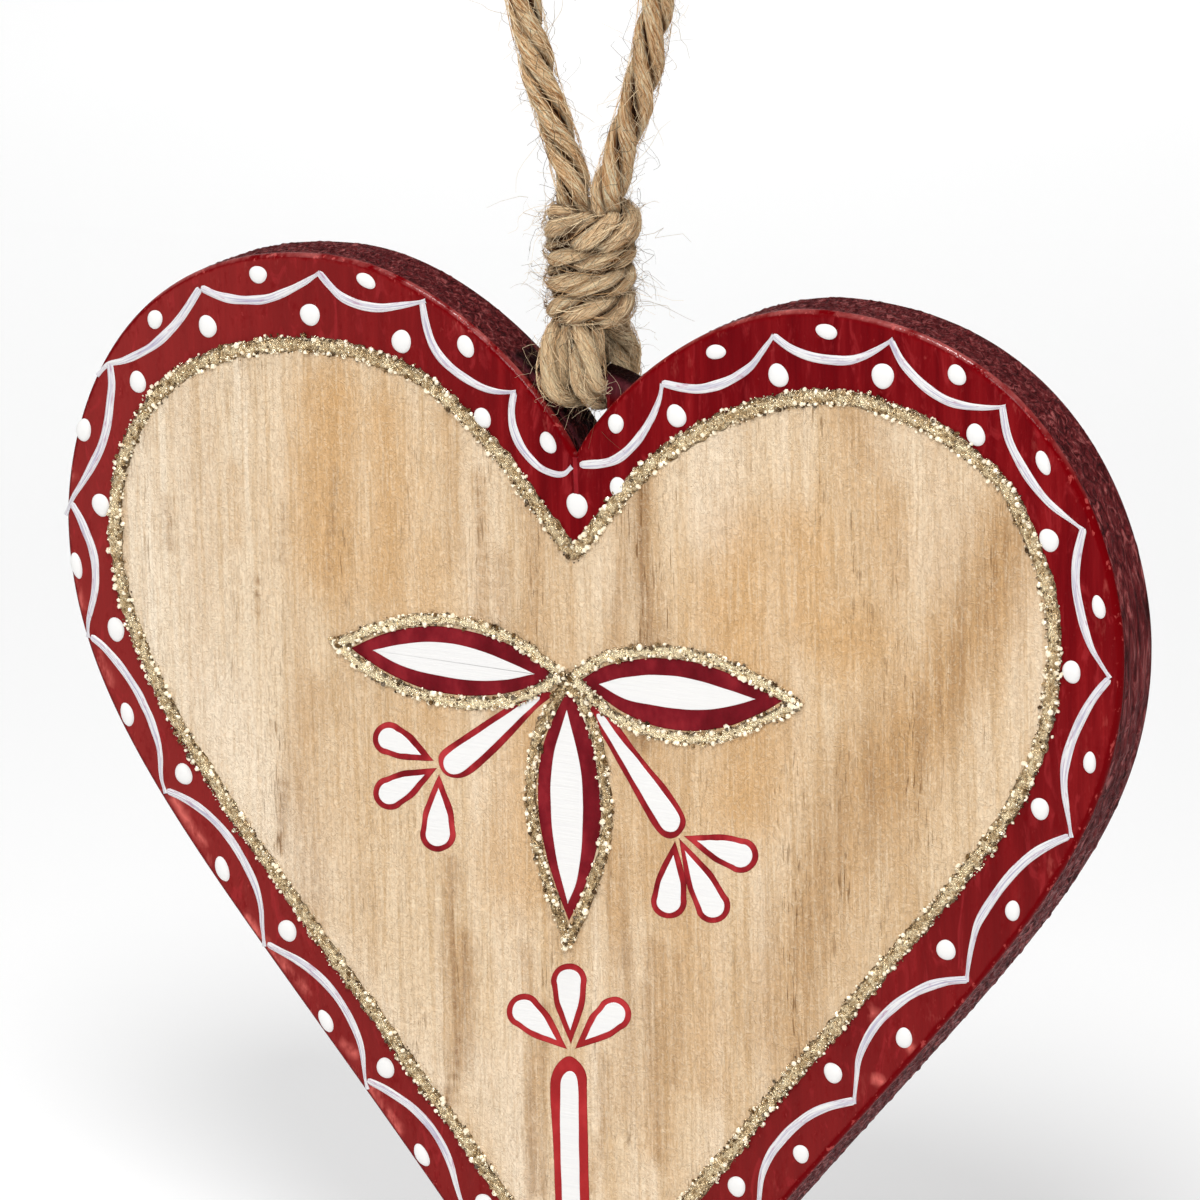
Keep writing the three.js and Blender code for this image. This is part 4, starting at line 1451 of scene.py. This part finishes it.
def make_gold_bead(material):
    """The binder of the glitter: a raised lumpy line, with painted shade along its edges."""
    shape = Shape()
    for path, half_width in gold_lines():
        normals = side_normals(path, closed=True)
        turn = np.linspace(0, 2 * math.pi, len(path), endpoint=False)
        count = len(path)
        width = half_width * (1 + 0.2 * rng.normal(0, 1, count))
        width = np.convolve(np.tile(width, 3), np.ones(3) / 3, mode="same")[count:2 * count]
        drift = sum(0.09 * np.sin(k * turn + rng.uniform(0, 6)) for k in (5, 9, 17, 29))
        across = np.linspace(-1, 1, GOLD_COLUMNS)
        rows, shades = [], []
        for point, normal, half, shift in zip(path, normals, width, drift):
            line = point + np.outer(across * half + shift * 0.5, normal)
            dome = GOLD_CROWN * (1 - across ** 4) * (0.75 + 0.4 * rng.random(GOLD_COLUMNS))
            rows.append(at_depth(line, FACE_Y - PAINT_GAP * 2 - dome))
            shades.append(np.clip(abs(across) * 1.5 - 0.85 + rng.normal(0, 0.3, GOLD_COLUMNS), 0, 0.85))
        rows.append(rows[0])
        shades.append(shades[0])
        shape.add(np.vstack(rows), grid_faces(len(rows), GOLD_COLUMNS), shade=np.concatenate(shades))
    return shape.make("gold_binder", [material], "gold_glitter")


def grain_corners():
    """The twelve corners of a regular twenty-faced solid, one unit from its middle."""
    golden = (1 + math.sqrt(5)) / 2
    signs = [(s, t) for s in (1, -1) for t in (1, -1)]
    corners = [(s, t * golden, 0) for s, t in signs]
    corners += [(0, s, t * golden) for s, t in signs]
    corners += [(s * golden, 0, t) for s, t in signs]
    return np.array(corners, float) / math.sqrt(1 + golden ** 2)


def hull_faces(corners):
    """Triangles between the neighbouring corners of that solid."""
    edge = min(np.linalg.norm(corners[0] - c) for c in corners[1:]) * 1.01
    near = np.linalg.norm(corners[:, None] - corners[None], axis=2) < edge
    faces = []
    for a in range(12):
        for b in range(a + 1, 12):
            for c in range(b + 1, 12):
                if near[a, b] and near[b, c] and near[a, c]:
                    outward = np.cross(corners[b] - corners[a], corners[c] - corners[a]) @ corners[a] > 0
                    faces.append((a, b, c) if outward else (a, c, b))
    return faces


def grain_places(path, half_width):
    """Places on the face, whether big, and height share of the grains along one line of glitter."""
    normals = side_normals(path, closed=True)
    length = np.linalg.norm(np.diff(path, axis=0), axis=1).sum()
    count = int(length * GRAINS_PER_MM)
    index = rng.integers(0, len(path), count)
    row = rng.choice([-1, 0, 1], count, p=[0.42, 0.16, 0.42])
    across = row * 0.86 + rng.normal(0, 0.15, count) + (row == 0) * rng.uniform(-0.5, 0.5, count)
    centre = path[index] + normals[index] * (across * half_width)[:, None]
    centre += rng.uniform(-0.15, 0.15, (count, 2))
    big = (rng.random(count) < 0.24) & (row != 0)
    return centre, big, 1 - np.clip(abs(across), 0, 1) ** 4


def make_grains(painted_glint, material):
    """Small faceted grains, in two dense uneven rows along each line and in lumps at the leaves' ends; some
    with painted shade, some almost white as painted glints.
    """
    corners = grain_corners()
    sides = hull_faces(corners)
    sets = [grain_places(path, half_width) for path, half_width in gold_lines()]
    for x, y, spread in GOLD_LUMPS:
        centre = on_face([(x, y)]) + rng.normal(0, spread, (GRAINS_PER_LUMP, 2))
        sets.append((centre, rng.random(GRAINS_PER_LUMP) < 0.5, np.ones(GRAINS_PER_LUMP)))
    shape = Shape()
    for centre, big, crown in sets:
        size = np.where(big, rng.uniform(*BIG_GRAIN, len(big)), rng.uniform(*SMALL_GRAIN, len(big)))
        height = GOLD_CROWN * crown * 0.9 + size * 0.45
        for place, radius, lift, large in zip(centre, size, height, big):
            turned = corners * rng.uniform(0.6, 1.1, 3) * radius
            spin, _ = np.linalg.qr(rng.normal(0, 1, (3, 3)))
            points = turned @ spin + (place[0], FACE_Y - lift, place[1])
            # Painted light on the grains: those marked low get painted shade, the bright ones the
            # painted-glint finish.
            low = rng.random() < (0.1 if large else 0.26)
            bright = not low and rng.random() < (0.6 if large else 0.25)
            shape.add(points, sides, kind=int(bright), smooth=False, shade=np.full(12, 0.8 if low else 0.0))
    return shape.make("gold_grains", [material, painted_glint], "gold_glitter")


# Stage and light
def make_stage():
    """A pale floor just under the tip that curves up into a far backdrop."""
    floor_z = TIP_Z - 0.6
    profile = [(-FLOOR_REACH, floor_z), (FLOOR_REACH, floor_z)]
    for step in range(1, 13):
        angle = math.pi / 2 * step / 12
        across = BACKDROP_RADIUS * math.sin(angle)
        up = BACKDROP_RADIUS * (1 - math.cos(angle))
        profile.append((FLOOR_REACH + across, floor_z + up))
    profile.append((FLOOR_REACH + BACKDROP_RADIUS, floor_z + 3 * BACKDROP_RADIUS))
    points = [(x, y, z) for y, z in profile for x in (-FLOOR_REACH, FLOOR_REACH)]
    mesh = bpy.data.meshes.new("floor")
    mesh.from_pydata([tuple(c * MM for c in p) for p in points], [], grid_faces(len(profile), 2))
    for polygon in mesh.polygons:
        polygon.use_smooth = True
    mesh.materials.append(floor_finish())
    floor = bpy.data.objects.new("floor", mesh)
    bpy.context.scene.collection.objects.link(floor)


def make_light(name, place, target, size, power, spread):
    """A round soft light that looks from its place to its target."""
    data = bpy.data.lights.new(name, "AREA")
    data.shape = "DISK"
    data.size = size
    data.energy = power
    data.spread = math.radians(spread)
    lamp = bpy.data.objects.new(name, data)
    lamp.location = place
    lamp.rotation_euler = (Vector(target) - Vector(place)).to_track_quat("-Z", "Y").to_euler()
    bpy.context.scene.collection.objects.link(lamp)


def make_lights():
    """Soft studio light: key from the left, front from the right, top, fill, a lit floor and the world."""
    for light in LIGHTS:
        make_light(*light)
    world = bpy.data.worlds.new("studio")
    world.use_nodes = True
    background = world.node_tree.nodes["Background"]
    background.inputs["Color"].default_value = (1, 1, 1, 1)
    background.inputs["Strength"].default_value = WORLD_STRENGTH
    bpy.context.scene.world = world
    bpy.context.scene.view_settings.view_transform = "Standard"


def main():
    """Camera and cord first, then the board, the paint, the glitter, the floor and the light."""
    make_camera()
    path, first, second, share = make_cord(jute_finish())
    pale = fuzz_finish("jute_fibre", srgb(128, 82, 42), srgb(222, 178, 128), srgb(254, 230, 190))
    grey = fuzz_finish("loose_fibre", srgb(96, 78, 58), srgb(158, 134, 106), srgb(218, 196, 164))
    make_lying(path, first, second, share, pale)
    make_fuzz(path, first, second, share, grey)
    make_board(wood_finish(), red_finish(), wall_finish())
    strokes = Shape()
    for pixels in STROKES:
        add_stroke(strokes, pixels)
    strokes.make("white_strokes", [white_finish("white_stroke", 0.6, 0.0002, 0.85)], "white_paint")
    make_dots(white_finish("white_dot", 0.0, 0.00003, 0.06))
    leaf_red = red_film_finish("leaf_red", srgb(92, 5, 16), srgb(110, 13, 25), srgb(132, 27, 36))
    line_red = red_film_finish("line_red", srgb(110, 12, 20), srgb(142, 27, 34), srgb(176, 50, 54))
    make_flowers(leaf_red, line_red, white_finish("white_film", 0.0, 0.0001, 0.12))
    binder = gold_finish("gold_binder", 0.26, srgb(106, 80, 46), srgb(186, 158, 116), srgb(246, 228, 190))
    make_gold_bead(binder)
    grain = gold_finish("gold_grain", 0.22, srgb(118, 90, 54), srgb(204, 176, 134), srgb(255, 242, 214))
    make_grains(painted_glint_finish(), grain)
    make_stage()
    make_lights()


main()
